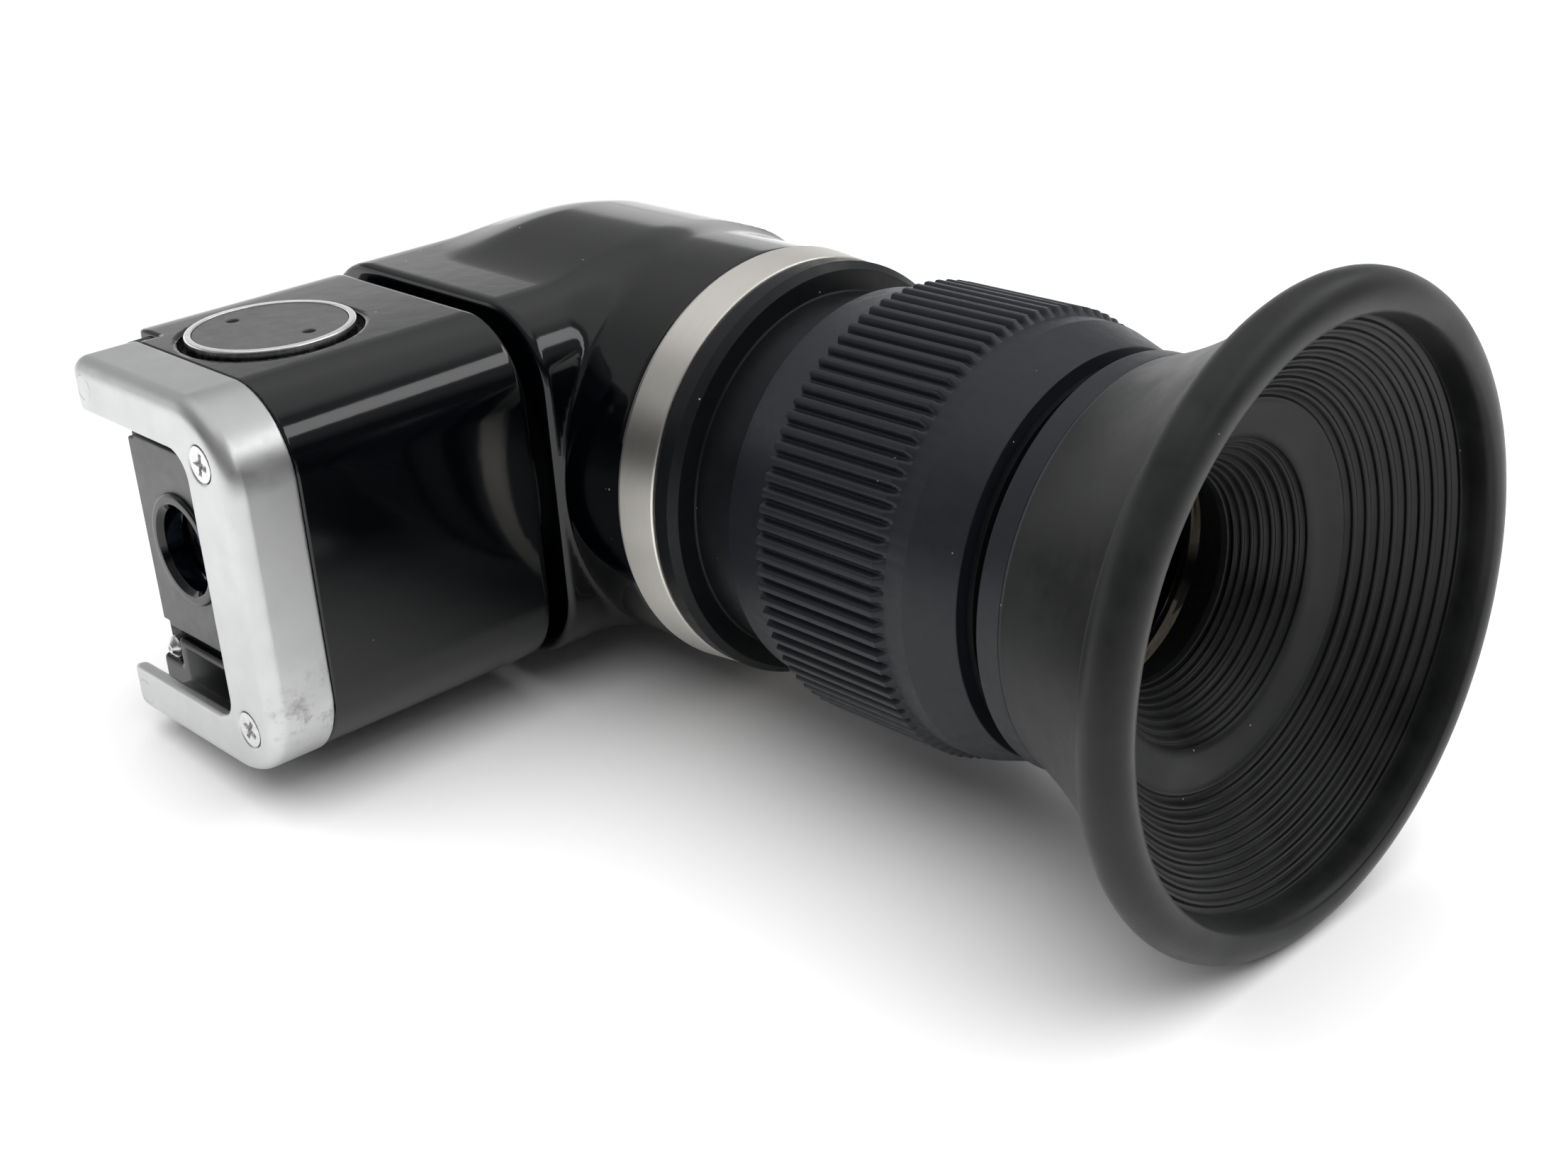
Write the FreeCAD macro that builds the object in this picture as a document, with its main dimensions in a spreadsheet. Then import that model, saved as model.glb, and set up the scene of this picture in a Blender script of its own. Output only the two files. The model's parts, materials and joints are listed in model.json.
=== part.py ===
import FreeCAD, Part
import math
import os
import Sketcher

# Right-angle viewfinder attachment: a square objective block with a clip-on bracket, a turning elbow
# with a prism, and an eyepiece with a focusing ring and a rubber eyecup. Millimetres.
#
# Frame: the origin is on the block's optical axis, in the plane of the bracket's front face.
# +X runs along the block into the elbow, -Y runs along the eyepiece towards the eye, and +Z is the side
# of the block that carries the selector disc. Distances along the eyepiece are called reach, and are
# measured from the block's axis towards the eye.

doc = FreeCAD.newDocument("angle_finder")

# ---------------------------------------------------------------- driving dimensions

SIZES = [
    ("bracket_half", 14.0, "half the bracket's width and height over its band"),
    ("bracket_corner", 6.2, "outer corner radius of the bracket"),
    ("band_length", 5.0, "how far the bracket's band runs back over the block"),
    ("sheet", 1.0, "thickness of the bracket's sheet"),
    ("sheet_edge", 1.2, "rounding of the bracket's front edge"),
    ("arm_tip", 7.0, "where the bracket's two arms end"),
    ("arm_width", 3.9, "width of each bracket arm"),
    ("spine_width", 5.8, "width of the bracket's closed side"),
    ("window_corner", 2.0, "corner radius of the bracket's window"),
    ("slot_depth", 1.9, "gap behind the bracket's sheet for the camera's eyepiece frame"),
    ("bracket_screw_y", 10.4, "bracket screws from the axis, sideways"),
    ("bracket_screw_z", 9.9, "bracket screws from the axis, up and down"),
    ("screw_head", 1.4, "head radius of a bracket screw"),
    ("screw_shank", 0.85, "shank radius of a bracket screw"),
    ("mark_ring", 1.0, "radius of the round mark pressed near each arm tip"),
    ("plate_thick", 0.78, "thickness of the front plate"),
    ("plate_side", 6.1, "open side edge of the front plate"),
    ("plate_half", 7.6, "half the height of the front plate"),
    ("block_side", 6.9, "open side of the mount block behind the bracket's arms"),
    ("ledge_side", 7.6, "open side of the mount block's ledge"),
    ("ledge_half", 13.6, "half the height of the mount block's ledge"),
    ("bezel_rim", 4.3, "outer radius of the objective's bezel"),
    ("bezel_bore", 3.2, "clear radius through the bezel"),
    ("bezel_body", 3.95, "radius of the bezel's body and of the objective"),
    ("bezel_proud", 0.4, "how far the bezel stands out of the plate"),
    ("latch_radius", 0.9, "radius of the latch pin"),
    ("latch_y", 4.8, "latch pin from the axis, sideways"),
    ("latch_z", 9.3, "latch pin below the axis"),
    ("latch_travel", 0.8, "how far the latch pin can be pressed in"),
    ("block_half", 13.9, "half the block housing's width and height"),
    ("block_corner", 6.1, "outer corner radius of the block housing"),
    ("block_front", 5.05, "front edge of the block housing beside the band"),
    ("block_step", 6.65, "front edge of the block housing beside the ledge"),
    ("block_open", 8.6, "front edge of the block housing on the open side"),
    ("block_end", 24.33, "rear face of the block housing"),
    ("wall", 1.6, "wall thickness of both housings"),
    ("selector_x", 12.44, "selector axis from the bracket's face"),
    ("selector_recess", 6.64, "radius of the recess round the selector disc"),
    ("disc_radius", 6.13, "outer radius of the selector disc's bright edge"),
    ("disc_face", 5.6, "radius of the selector disc's dark face"),
    ("disc_top", 14.35, "top of the selector disc"),
    ("drum_radius", 5.4, "radius of the selector drum"),
    ("drum_half", 11.0, "half the height of the selector drum"),
    ("light_path", 3.0, "radius of the light paths through the drum"),
    ("journal", 4.0, "radius of the drum's upper journal"),
    ("pivot", 2.5, "radius of the drum's lower journal"),
    ("knob_radius", 6.0, "radius of the selector knob"),
    ("spanner_hole", 0.5, "radius of the disc's two spanner holes"),
    ("spanner_x", 1.06, "spanner holes from the selector axis, along the block"),
    ("spanner_y", 3.49, "spanner holes from the selector axis, across the block"),
    ("running", 0.05, "radial clearance of every running fit"),
    ("sleeve_radius", 9.0, "outer radius of the swivel sleeve"),
    ("sleeve_bore", 7.6, "bore of the swivel sleeve"),
    ("elbow_start", 25.69, "front face of the elbow housing"),
    ("elbow_half", 14.25, "half the elbow housing's width and height"),
    ("elbow_corner", 6.2, "rounding of the elbow housing's long edges"),
    ("elbow_end", 54.0, "far end of the elbow housing's square part"),
    ("elbow_turn", 12.0, "plan radius of the elbow housing's outer corner"),
    ("elbow_x", 42.16, "eyepiece axis from the bracket's face"),
    ("tube_radius", 15.9, "radius of the elbow housing's round part"),
    ("tube_back", 12.0, "how far the round part runs past the block's axis"),
    ("tube_dome", 10.0, "rounding of the round part's closed end"),
    ("tube_end", 20.4, "reach of the elbow housing's open mouth"),
    ("trim_end", 24.2, "reach of the bright ring's outer edge"),
    ("trim_radius", 16.1, "radius of the bright ring at its widest"),
    ("trim_bevel", 0.6, "length of the bevel at the bright ring's inner edge"),
    ("trim_front", 15.8, "radius of the bright ring at its outer edge"),
    ("spigot", 14.26, "radius of the spigot that holds the eyepiece tube in the elbow"),
    ("flange_end", 26.36, "reach of the gloss flange's face"),
    ("flange_radius", 15.75, "radius of the gloss flange"),
    ("neck", 13.6, "radius of the neck that the focusing ring turns on"),
    ("neck_end", 41.7, "reach of the neck's end"),
    ("neck_bore", 12.0, "bore of the neck"),
    ("ring_start", 31.05, "reach of the focusing ring's inner edge"),
    ("ring_edge", 14.7, "radius of the focusing ring's inner edge"),
    ("knurl_start", 35.15, "reach where the ring's teeth begin"),
    ("knurl_end", 46.3, "reach where the ring's teeth end"),
    ("knurl_radius", 15.95, "radius over the ring's teeth"),
    ("root_radius", 15.35, "radius at the roots of the ring's teeth"),
    ("taper_start", 48.1, "reach where the ring begins to taper"),
    ("taper_radius", 15.3, "radius where the ring begins to taper"),
    ("ring_end", 51.7, "reach of the ring's outer edge"),
    ("ring_front", 14.24, "radius of the ring's outer edge"),
    ("ring_shoulder", 46.0, "reach of the shoulder inside the ring"),
    ("barrel_front", 12.55, "radius of the barrel under the ring's outer end"),
    ("barrel_back", 33.0, "reach of the barrel's inner end"),
    ("barrel_bore", 9.55, "bore of the barrel for its lenses"),
    ("collar_start", 53.45, "reach of the eyecup collar's inner face"),
    ("collar_end", 55.3, "reach of the eyecup collar's outer face"),
    ("collar_radius", 14.4, "radius of the eyecup collar"),
    ("barrel_end", 56.9, "reach of the barrel's outer face"),
    ("eye_opening", 7.3, "clear radius in front of the eye lens"),
    ("tunnel_end", 61.25, "reach of the eyecup tunnel's mouth"),
    ("tunnel_radius", 10.4, "radius of the eyecup tunnel's mouth"),
    ("bell_start", 62.25, "reach where the eyecup's bell begins"),
    ("bell_radius", 13.5, "inner radius where the bell begins"),
    ("lip_reach", 67.5, "reach of the eyecup's inner lip"),
    ("lip_radius", 19.2, "radius of the eyecup's inner lip"),
    ("rim_reach", 68.2, "reach of the middle of the eyecup's rim"),
    ("rim_radius", 22.25, "radius over the eyecup's rim"),
    ("rim_bead", 1.6, "radius of the eyecup's rounded rim"),
]
TEETH = 90


class Size:
    """A length: its value, and the sheet expression that gives it."""

    def __init__(self, value, text):
        self.value = value
        self.text = text

    def __add__(self, other):
        other = as_size(other)
        return Size(self.value + other.value, "(%s + %s)" % (self.text, other.text))

    def __sub__(self, other):
        other = as_size(other)
        return Size(self.value - other.value, "(%s - %s)" % (self.text, other.text))

    def __mul__(self, other):
        other = as_size(other)
        return Size(self.value * other.value, "(%s * %s)" % (self.text, other.text))

    def __neg__(self):
        return Size(-self.value, "(-%s)" % self.text)

    __radd__ = __add__
    __rmul__ = __mul__

    def __rsub__(self, other):
        return as_size(other) - self


def as_size(value):
    return value if isinstance(value, Size) else Size(float(value), "%g" % value)


class Sheet:
    """The spreadsheet, with each alias as an attribute that holds a Size."""

    def __init__(self, rows):
        cells = doc.addObject("Spreadsheet::Sheet", "Dims")
        for row, (alias, value, meaning) in enumerate(rows, start=1):
            cells.set("A%d" % row, alias)
            cells.set("B%d" % row, "%g" % value)
            cells.set("C%d" % row, meaning)
            cells.setAlias("B%d" % row, alias)
            setattr(self, alias, Size(value, "Dims." + alias))


s = Sheet(SIZES)
doc.recompute()

# ---------------------------------------------------------------- sketch and feature helpers


def bind(thing, path, size):
    thing.setExpression(path, as_size(size).text)


def plane_of(piece, role):
    return next(f for f in piece.Origin.OriginFeatures if f.Role == role)


def new_body(label):
    piece = doc.addObject("PartDesign::Body", label)
    piece.Label = label
    return piece


def sketch_on(piece, role, offset=0):
    sketch = piece.newObject("Sketcher::SketchObject", piece.Name + "_sketch")
    sketch.AttachmentSupport = (plane_of(piece, role), [""])
    sketch.MapMode = "FlatFace"
    bind(sketch, "AttachmentOffset.Base.z", offset)
    return sketch


def constrain(sketch, kind, geometry, end, size):
    size = as_size(size)
    if kind == "Radius":
        constraint = Sketcher.Constraint(kind, geometry, size.value)
    else:
        constraint = Sketcher.Constraint(kind, -1, 1, geometry, end, size.value)
    index = sketch.addConstraint(constraint)
    bind(sketch, "Constraints[%d]" % index, size)


def add_arc(sketch, start, end, radius):
    """An arc from start to end that bulges to the left of travel, or to the right if radius < 0."""
    chord = end - start
    left = FreeCAD.Vector(-chord.y, chord.x, 0).normalize()
    rise = math.sqrt(max(radius**2 - chord.Length**2 / 4, 0))
    side = 1 if radius > 0 else -1
    centre = (start + end) * 0.5 - left * rise * side
    first, last = (end, start) if radius > 0 else (start, end)
    angles = [math.atan2(p.y - centre.y, p.x - centre.x) for p in (first, last)]
    circle = Part.Circle(centre, FreeCAD.Vector(0, 0, 1), abs(radius))
    index = sketch.addGeometry(Part.ArcOfCircle(circle, angles[0], angles[1]))
    return (index, 2, 1) if radius > 0 else (index, 1, 2)


def outline(sketch, points):
    """A closed outline. A point is (across, up), or (across, up, radius) where an arc follows it."""
    flat = [FreeCAD.Vector(as_size(p[0]).value, as_size(p[1]).value, 0) for p in points]
    count = len(points)
    pieces = []
    for i, point in enumerate(points):
        start, end = flat[i], flat[(i + 1) % count]
        if len(point) == 3:
            pieces.append(add_arc(sketch, start, end, as_size(point[2]).value))
        else:
            pieces.append((sketch.addGeometry(Part.LineSegment(start, end)), 1, 2))
    for i, point in enumerate(points):
        index, first, last = pieces[i]
        after, after_first, _ = pieces[(i + 1) % count]
        sketch.addConstraint(Sketcher.Constraint("Coincident", index, last, after, after_first))
        constrain(sketch, "DistanceX", index, first, point[0])
        constrain(sketch, "DistanceY", index, first, point[1])
        if len(point) == 3:
            radius = as_size(point[2])
            constrain(sketch, "Radius", index, 0, radius if radius.value > 0 else -radius)


def circles(sketch, places, radius):
    for across, up in places:
        middle = FreeCAD.Vector(as_size(across).value, as_size(up).value, 0)
        circle = Part.Circle(middle, FreeCAD.Vector(0, 0, 1), as_size(radius).value)
        index = sketch.addGeometry(circle)
        constrain(sketch, "DistanceX", index, 3, across)
        constrain(sketch, "DistanceY", index, 3, up)
        constrain(sketch, "Radius", index, 0, radius)


def rounded(low, high, bottom, top, radius, low_radius=None):
    """The outline of a rounded rectangle, with its own radius on the two corners at low if given."""
    near = as_size(radius if low_radius is None else low_radius)
    far = as_size(radius)
    return [
        (low + near, bottom),
        (high - far, bottom, -far),
        (high, bottom + far),
        (high, top - far, -far),
        (high - far, top),
        (low + near, top, -near),
        (low, top - near),
        (low, bottom + near, -near),
    ]


def feature(piece, kind, sketch, **settings):
    made = piece.newObject("PartDesign::" + kind, "%s_%s" % (piece.Name, kind))
    made.Profile = sketch
    for name, value in settings.items():
        if isinstance(value, Size):
            bind(made, name, value)
        else:
            setattr(made, name, value)
    sketch.Visibility = False
    piece.Tip = made
    doc.recompute()
    return made


def pad(piece, role, offset, length, points):
    sketch = sketch_on(piece, role, offset)
    outline(sketch, points)
    return feature(piece, "Pad", sketch, Length=as_size(length))


def cut(piece, role, offset, depth, draw, *args):
    """Cuts from the plane at offset along the plane's normal, and checks that something went."""
    before = piece.Shape.Volume
    sketch = sketch_on(piece, role, offset)
    draw(sketch, *args)
    made = feature(piece, "Pocket", sketch, Length=as_size(depth), Reversed=True)
    if piece.Shape.Volume > before - 1e-4:
        raise RuntimeError("%s: a cut removed nothing" % piece.Label)
    return made


def revolve(piece, kind, role, axis, points):
    sketch = sketch_on(piece, role)
    outline(sketch, points)
    return feature(piece, kind, sketch, ReferenceAxis=(sketch, [axis]), Angle=360.0)


def along_block(label, points):
    """A turned piece on the block's axis; points are (along X, radius)."""
    piece = new_body(label)
    revolve(piece, "Revolution", "XY_Plane", "H_Axis", points)
    return piece


def eyepiece_points(points):
    """Points (radius, reach) in the plane where up is +Y, so reach counts down."""
    flipped = [(p[0], -as_size(p[1])) + tuple(p[2:]) for p in points]
    return [p[:2] + ((-as_size(p[2]),) if len(p) == 3 else ()) for p in flipped]


def along_eyepiece(label, points):
    """A turned piece on the eyepiece's axis; points are (radius, reach)."""
    piece = new_body(label)
    bind(piece, "Placement.Base.x", s.elbow_x)
    revolve(piece, "Revolution", "XY_Plane", "V_Axis", eyepiece_points(points))
    return piece


def along_selector(label, points):
    """A turned piece on the selector's axis; points are (radius, height)."""
    piece = new_body(label)
    bind(piece, "Placement.Base.x", s.selector_x)
    revolve(piece, "Revolution", "XZ_Plane", "V_Axis", points)
    return piece


def tube(inner, outer, start, end):
    return [(inner, start), (outer, start), (outer, end), (inner, end)]


def pattern(piece, original, axis, count):
    """Repeats a cut round one of the piece's own axes."""
    made = piece.newObject("PartDesign::PolarPattern", piece.Name + "_pattern")
    made.Originals = [original]
    made.Axis = (plane_of(piece, axis), [""])
    made.Angle = 360
    made.Occurrences = count
    piece.Tip = made
    doc.recompute()


def edges_where(shape, test):
    return ["Edge%d" % i for i, edge in enumerate(shape.Edges, start=1) if test(edge)]


def dress(piece, kind, size, test):
    """A Fillet or Chamfer on every edge that passes the test."""
    base = piece.Tip
    names = edges_where(base.Shape, test)
    if not names:
        raise RuntimeError("%s: no edge to dress" % piece.Label)
    made = piece.newObject("PartDesign::" + kind, "%s_%s" % (piece.Name, kind))
    made.Base = (base, names)
    bind(made, "Radius" if kind == "Fillet" else "Size", size)
    piece.Tip = made
    doc.recompute()
    return made


def spans(edge, axis):
    """The edge's extent along one axis."""
    low = getattr(edge.BoundBox, axis + "Min")
    high = getattr(edge.BoundBox, axis + "Max")
    return low, high


def lies_at(edge, axis, value, slack=1e-4):
    low, high = spans(edge, axis)
    return abs(low - value) < slack and abs(high - value) < slack


def primitive(kind, name, sizes, place):
    """A Part primitive with its sizes and place bound to the sheet."""
    made = doc.addObject("Part::" + kind, name)
    for prop, size in sizes.items():
        bind(made, prop, size)
    for axis, value in zip("xyz", place):
        bind(made, "Placement.Base." + axis, value)
    return made


def boolean(kind, label, base, tool):
    made = doc.addObject("Part::" + kind, label)
    made.Label = label
    if kind == "MultiFuse":
        made.Shapes = [base] + tool
    else:
        made.Base = base
        made.Tool = tool
    doc.recompute()
    return made


# ---------------------------------------------------------------- places worked out from the sizes

plate_front = s.sheet + s.slot_depth
plate_back = plate_front + s.plate_thick
window_top = s.bracket_half - s.arm_width
window_side = -s.bracket_half + s.spine_width
band_inside = s.bracket_half - s.sheet
block_inside = s.block_half - s.wall
inner_corner = s.block_corner - s.wall
block_rear_wall = s.block_end - 2.3
ledge_start = 6.0
click_x = s.block_end - 1.15
screw_places = [(-s.bracket_screw_y, s.bracket_screw_z), (-s.bracket_screw_y, -s.bracket_screw_z)]
PLAY = 0.05
POLE = 0.15


# ---------------------------------------------------------------- mount: bracket, plate, block


def make_bracket():
    """Sheet-metal U: a flat face open on the +Y side, with a band wrapped back over three sides."""
    piece = new_body("shoe_bracket")
    radius = s.bracket_corner
    half = s.bracket_half
    tip_corner = 0.7
    profile = [
        (radius - half, -half),
        (s.arm_tip - tip_corner, -half),
        (s.arm_tip, -half + tip_corner),
        (s.arm_tip, half - tip_corner),
        (s.arm_tip - tip_corner, half),
        (radius - half, half, -radius),
        (-half, half - radius),
        (-half, radius - half, -radius),
    ]
    pad(piece, "YZ_Plane", 0, s.band_length, profile)
    dress(
        piece,
        "Fillet",
        s.sheet_edge,
        lambda edge: lies_at(edge, "X", 0) and not lies_at(edge, "Y", s.arm_tip.value),
    )
    inside = band_inside
    past = s.arm_tip + 1
    hollow = rounded(-inside, past, -inside, inside, 0.2, radius - s.sheet)
    cut(piece, "YZ_Plane", s.sheet, s.band_length, outline, hollow)
    window = rounded(window_side, past, -window_top, window_top, 0.2, s.window_corner)
    cut(piece, "YZ_Plane", -1, s.sheet + 2, outline, window)

    def tip_edge(edge):
        at_tip = lies_at(edge, "Y", s.arm_tip.value)
        inner = lies_at(edge, "Z", window_top.value) or lies_at(edge, "Z", -window_top.value)
        return at_tip and inner

    dress(piece, "Fillet", as_size(tip_corner), tip_edge)
    cut(piece, "YZ_Plane", -1, s.sheet + 2, circles, screw_places, s.screw_shank + PLAY)
    countersink = s.screw_head - s.screw_shank
    dress(
        piece,
        "Chamfer",
        countersink,
        lambda edge: lies_at(edge, "X", 0) and edge.isClosed(),
    )
    mark_depth = 0.1
    mark_width = 0.15
    for height in (s.bracket_half - s.arm_width * 0.5, s.arm_width * 0.5 - s.bracket_half):
        place = [(s.arm_tip - 1.9, height)]
        sketch = sketch_on(piece, "YZ_Plane", 0)
        circles(sketch, place, s.mark_ring)
        circles(sketch, place, s.mark_ring - mark_width)
        feature(piece, "Pocket", sketch, Length=as_size(mark_depth), Reversed=True)
    return piece


def make_bracket_screws():
    """Two countersunk cross-head screws, one group of separate solids."""
    head = s.screw_head - 0.04
    cone = s.screw_head - s.screw_shank
    length = 6.4
    solids = []
    for index, (side, height) in enumerate(screw_places):
        screw = new_body("bracket_screw_%d" % index)
        bind(screw, "Placement.Base.y", side)
        bind(screw, "Placement.Base.z", height)
        profile = [(0.02, 0), (0.02, head), (cone, s.screw_shank), (length, s.screw_shank), (length, 0)]
        revolve(screw, "Revolution", "XY_Plane", "H_Axis", profile)
        long, short, deep = 0.8, 0.16, 0.45
        for across, up in ((long, short), (short, long)):
            cross = [(-across, -up), (across, -up), (across, up), (-across, up)]
            cut(screw, "YZ_Plane", 0, deep, outline, cross)
        solids.append(screw)
    group = doc.addObject("Part::Compound", "bracket_screws")
    group.Label = "bracket_screws"
    group.Links = solids
    return group


def make_front_plate():
    """Flat satin plate that the camera's eyepiece frame slides against."""
    piece = new_body("front_plate")
    side = -s.bracket_half + 1.6
    pad(
        piece,
        "YZ_Plane",
        plate_front,
        s.plate_thick,
        rounded(side, s.plate_side, -s.plate_half, s.plate_half, 0.4),
    )
    bore = s.bezel_body + PLAY
    cut(piece, "YZ_Plane", plate_front - 1, s.plate_thick + 2, circles, [(0, 0)], bore)
    screws = [(-s.bracket_screw_y, 0)]
    cut(piece, "YZ_Plane", plate_front - 1, s.plate_thick + 2, circles, screws, 0.8)
    return piece


def make_plate_screw():
    """Countersunk screw that holds the front plate behind the bracket's closed side."""
    piece = new_body("plate_screw")
    bind(piece, "Placement.Base.y", -s.bracket_screw_y)
    start = plate_front - 0.35
    head = 1.3
    profile = [
        (start, 0),
        (start, head - 0.2),
        (start + 0.2, head),
        (plate_front, head),
        (plate_front, 0.75),
        (plate_back + 2.6, 0.75),
        (plate_back + 2.6, 0),
    ]
    revolve(piece, "Revolution", "XY_Plane", "H_Axis", profile)
    slot = [(-head, -0.15), (head, -0.15), (head, 0.15), (-head, 0.15)]
    cut(piece, "YZ_Plane", start - 1, 1.25, outline, slot)
    return piece


def make_mount_block():
    """Moulded plug that closes the block's front and carries the plate, objective and latch."""
    piece = new_body("mount_block")
    inside = band_inside - 0.05
    front = rounded(-inside, s.block_side, -inside, inside, 0.3, s.bracket_corner - s.sheet)
    pad(piece, "YZ_Plane", plate_back, s.band_length - plate_back, front)
    core = block_inside - 0.02
    middle = rounded(-core, s.ledge_side, -core, core, 0.3, inner_corner)
    pad(piece, "YZ_Plane", s.band_length, s.block_step - s.band_length, middle)
    ledge = rounded(ledge_start + 0.02, s.ledge_side, -s.ledge_half, s.ledge_half, 0.2)
    pad(piece, "YZ_Plane", s.band_length + 0.02, s.block_step - s.band_length - 0.04, ledge)
    flange = rounded(-core, core, -core, core, inner_corner)
    pad(piece, "YZ_Plane", s.block_open, 1.6, flange)
    middle = rounded(-core, s.ledge_side, -core, core, 0.3, inner_corner)
    pad(piece, "YZ_Plane", s.block_step - 0.1, s.block_open - s.block_step + 0.2, middle)
    beyond = 12
    seat = s.bezel_body + PLAY
    cut(piece, "YZ_Plane", plate_back - 1, 3.1, circles, [(0, 0)], seat)
    cut(piece, "YZ_Plane", plate_back - 1, beyond, circles, [(0, 0)], s.bezel_bore)
    latch = [(s.latch_y, -s.latch_z)]
    cut(piece, "YZ_Plane", plate_back - 1, beyond, circles, latch, s.latch_radius + s.running)
    cut(piece, "YZ_Plane", s.band_length + 0.6, beyond, circles, latch, s.latch_radius + 0.45)
    cut(piece, "YZ_Plane", plate_back - 1, beyond, circles, screw_places, s.screw_shank + 0.02)
    plate_hole = [(-s.bracket_screw_y, 0)]
    cut(piece, "YZ_Plane", plate_back - 1, 4.5, circles, plate_hole, 0.77)
    middle = [(s.selector_x, 0)]
    cut(piece, "XY_Plane", -20, 40, circles, middle, s.drum_radius + 0.25)
    for low in (s.drum_half + 0.1, -s.drum_half - 5.1):
        cut(piece, "XY_Plane", low, 5, circles, middle, s.selector_recess + 0.75)
    return piece


def make_rail_stop():
    """Gloss jaw under the front plate, notched at one corner for the latch pin."""
    piece = new_body("rail_stop")
    front = plate_front - 0.35
    top = -s.plate_half - 0.55
    bottom = -band_inside + 0.1
    low = -s.bracket_half + 5.4
    notch_y = s.latch_y - s.latch_radius - 0.15
    notch_z = -s.latch_z - s.latch_radius - 0.15
    points = [
        (low, bottom),
        (s.block_side, bottom),
        (s.block_side, notch_z),
        (notch_y, notch_z),
        (notch_y, top),
        (low, top),
    ]
    pad(piece, "YZ_Plane", front, plate_back - front, points)
    dress(piece, "Fillet", as_size(0.3), lambda edge: lies_at(edge, "X", front.value))
    return piece


def make_latch_pin():
    """Plated pin with a rounded nose, pushed forward into the slot by its spring."""
    nose = plate_front - 0.6
    radius = s.latch_radius
    collar = s.band_length + 0.65
    profile = [
        (nose, 0),
        (nose, POLE, radius * 1.02),
        (nose + 0.75, radius),
        (collar, radius),
        (collar, radius + 0.38),
        (collar + 0.5, radius + 0.38),
        (collar + 0.5, 0.35),
        (collar + 1.3, 0.35),
        (collar + 1.3, 0),
    ]
    piece = along_block("latch_pin", profile)
    bind(piece, "Placement.Base.y", s.latch_y)
    bind(piece, "Placement.Base.z", -s.latch_z)
    return piece


def coil(label, wire, radius, pitch, height, place, turn):
    """A coil spring: a round wire swept along a helix."""
    helix = doc.addObject("Part::Helix", label + "_line")
    bind(helix, "Radius", radius)
    bind(helix, "Pitch", pitch)
    bind(helix, "Height", height)
    ring = doc.addObject("Part::Circle", label + "_wire")
    bind(ring, "Radius", wire)
    bind(ring, "Placement.Base.x", radius)
    ring.Placement.Rotation = FreeCAD.Rotation(FreeCAD.Vector(1, 0, 0), 90)
    doc.recompute()
    spring = doc.addObject("Part::Sweep", label)
    spring.Label = label
    spring.Sections = [ring]
    spring.Spine = (helix, ["Edge1"])
    spring.Solid = True
    spring.Frenet = True
    spring.Placement.Rotation = turn
    for axis, value in zip("xyz", place):
        bind(spring, "Placement.Base." + axis, value)
    doc.recompute()
    return spring


def make_latch_spring():
    """Coil on the latch pin's tail; it rides with the pin."""
    start = s.band_length + 1.3
    along_x = FreeCAD.Rotation(FreeCAD.Vector(0, 1, 0), 90)
    place = (start, s.latch_y, -s.latch_z)
    return coil("latch_spring", 0.12, 0.62, 0.36, 1.0, place, along_x)


def make_objective():
    front = plate_front - s.bezel_proud
    lens_front = plate_front + 1.4
    seat = plate_back + 2.1
    body = s.bezel_body
    bore = s.bezel_bore
    along_block(
        "objective_bezel",
        [
            (front + 0.45, bore),
            (front, bore + 0.35),
            (front, s.bezel_rim - 0.3, 0.3),
            (front + 0.3, s.bezel_rim),
            (plate_front - 0.01, s.bezel_rim),
            (plate_front - 0.01, body),
            (lens_front, body),
            (lens_front, bore),
        ],
    )
    edge = lens_front + 0.02
    along_block(
        "objective_lens",
        [
            (edge - 0.3, 0),
            (edge - 0.3, POLE, 14),
            (edge, bore - 0.2),
            (edge, body - 0.03),
            (seat - 0.02, body - 0.03),
            (seat - 0.02, bore - 0.4, 20),
            (seat + 0.2, POLE),
            (seat + 0.2, 0),
        ],
    )


# ---------------------------------------------------------------- block housing


def make_block_housing():
    """Square shell with rounded long edges, bored for the selector and the swivel."""
    piece = new_body("block_housing")
    half = s.block_half
    length = s.block_end - s.block_front
    pad(piece, "YZ_Plane", s.block_front, length, rounded(-half, half, -half, half, s.block_corner))
    inside = block_inside
    hollow = rounded(-inside, inside, -inside, inside, inner_corner)
    cut(piece, "YZ_Plane", s.block_front, block_rear_wall - s.block_front, outline, hollow)
    beyond = 20
    step = [
        (s.block_front - 1, ledge_start),
        (s.block_step, ledge_start),
        (s.block_step, s.ledge_side + 1.2),
        (s.block_open, s.block_half - 2.4),
        (s.block_open, beyond),
        (s.block_front - 1, beyond),
    ]
    cut(piece, "XY_Plane", -beyond, 2 * beyond, outline, step)
    cut(piece, "YZ_Plane", block_rear_wall - 1, 5, circles, [(0, 0)], s.sleeve_radius + 0.6)
    cut(piece, "XY_Plane", 0, beyond, circles, [(s.selector_x, 0)], s.selector_recess)
    cut(piece, "XY_Plane", -beyond, beyond, circles, [(s.selector_x, 0)], s.knob_radius + 0.2)
    cut(piece, "XY_Plane", 9, 3.5, circles, [(click_x, 0)], 0.8)
    return piece


def make_swivel_bush():
    inner = s.sleeve_radius + s.running
    outer = s.sleeve_radius + 0.6
    piece = along_block("swivel_bush", [(block_rear_wall, inner), (s.block_end, inner),
                                        (s.block_end, outer), (block_rear_wall, outer)])
    cut(piece, "XY_Plane", 0, 12, circles, [(click_x, 0)], 0.8)
    return piece


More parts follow.
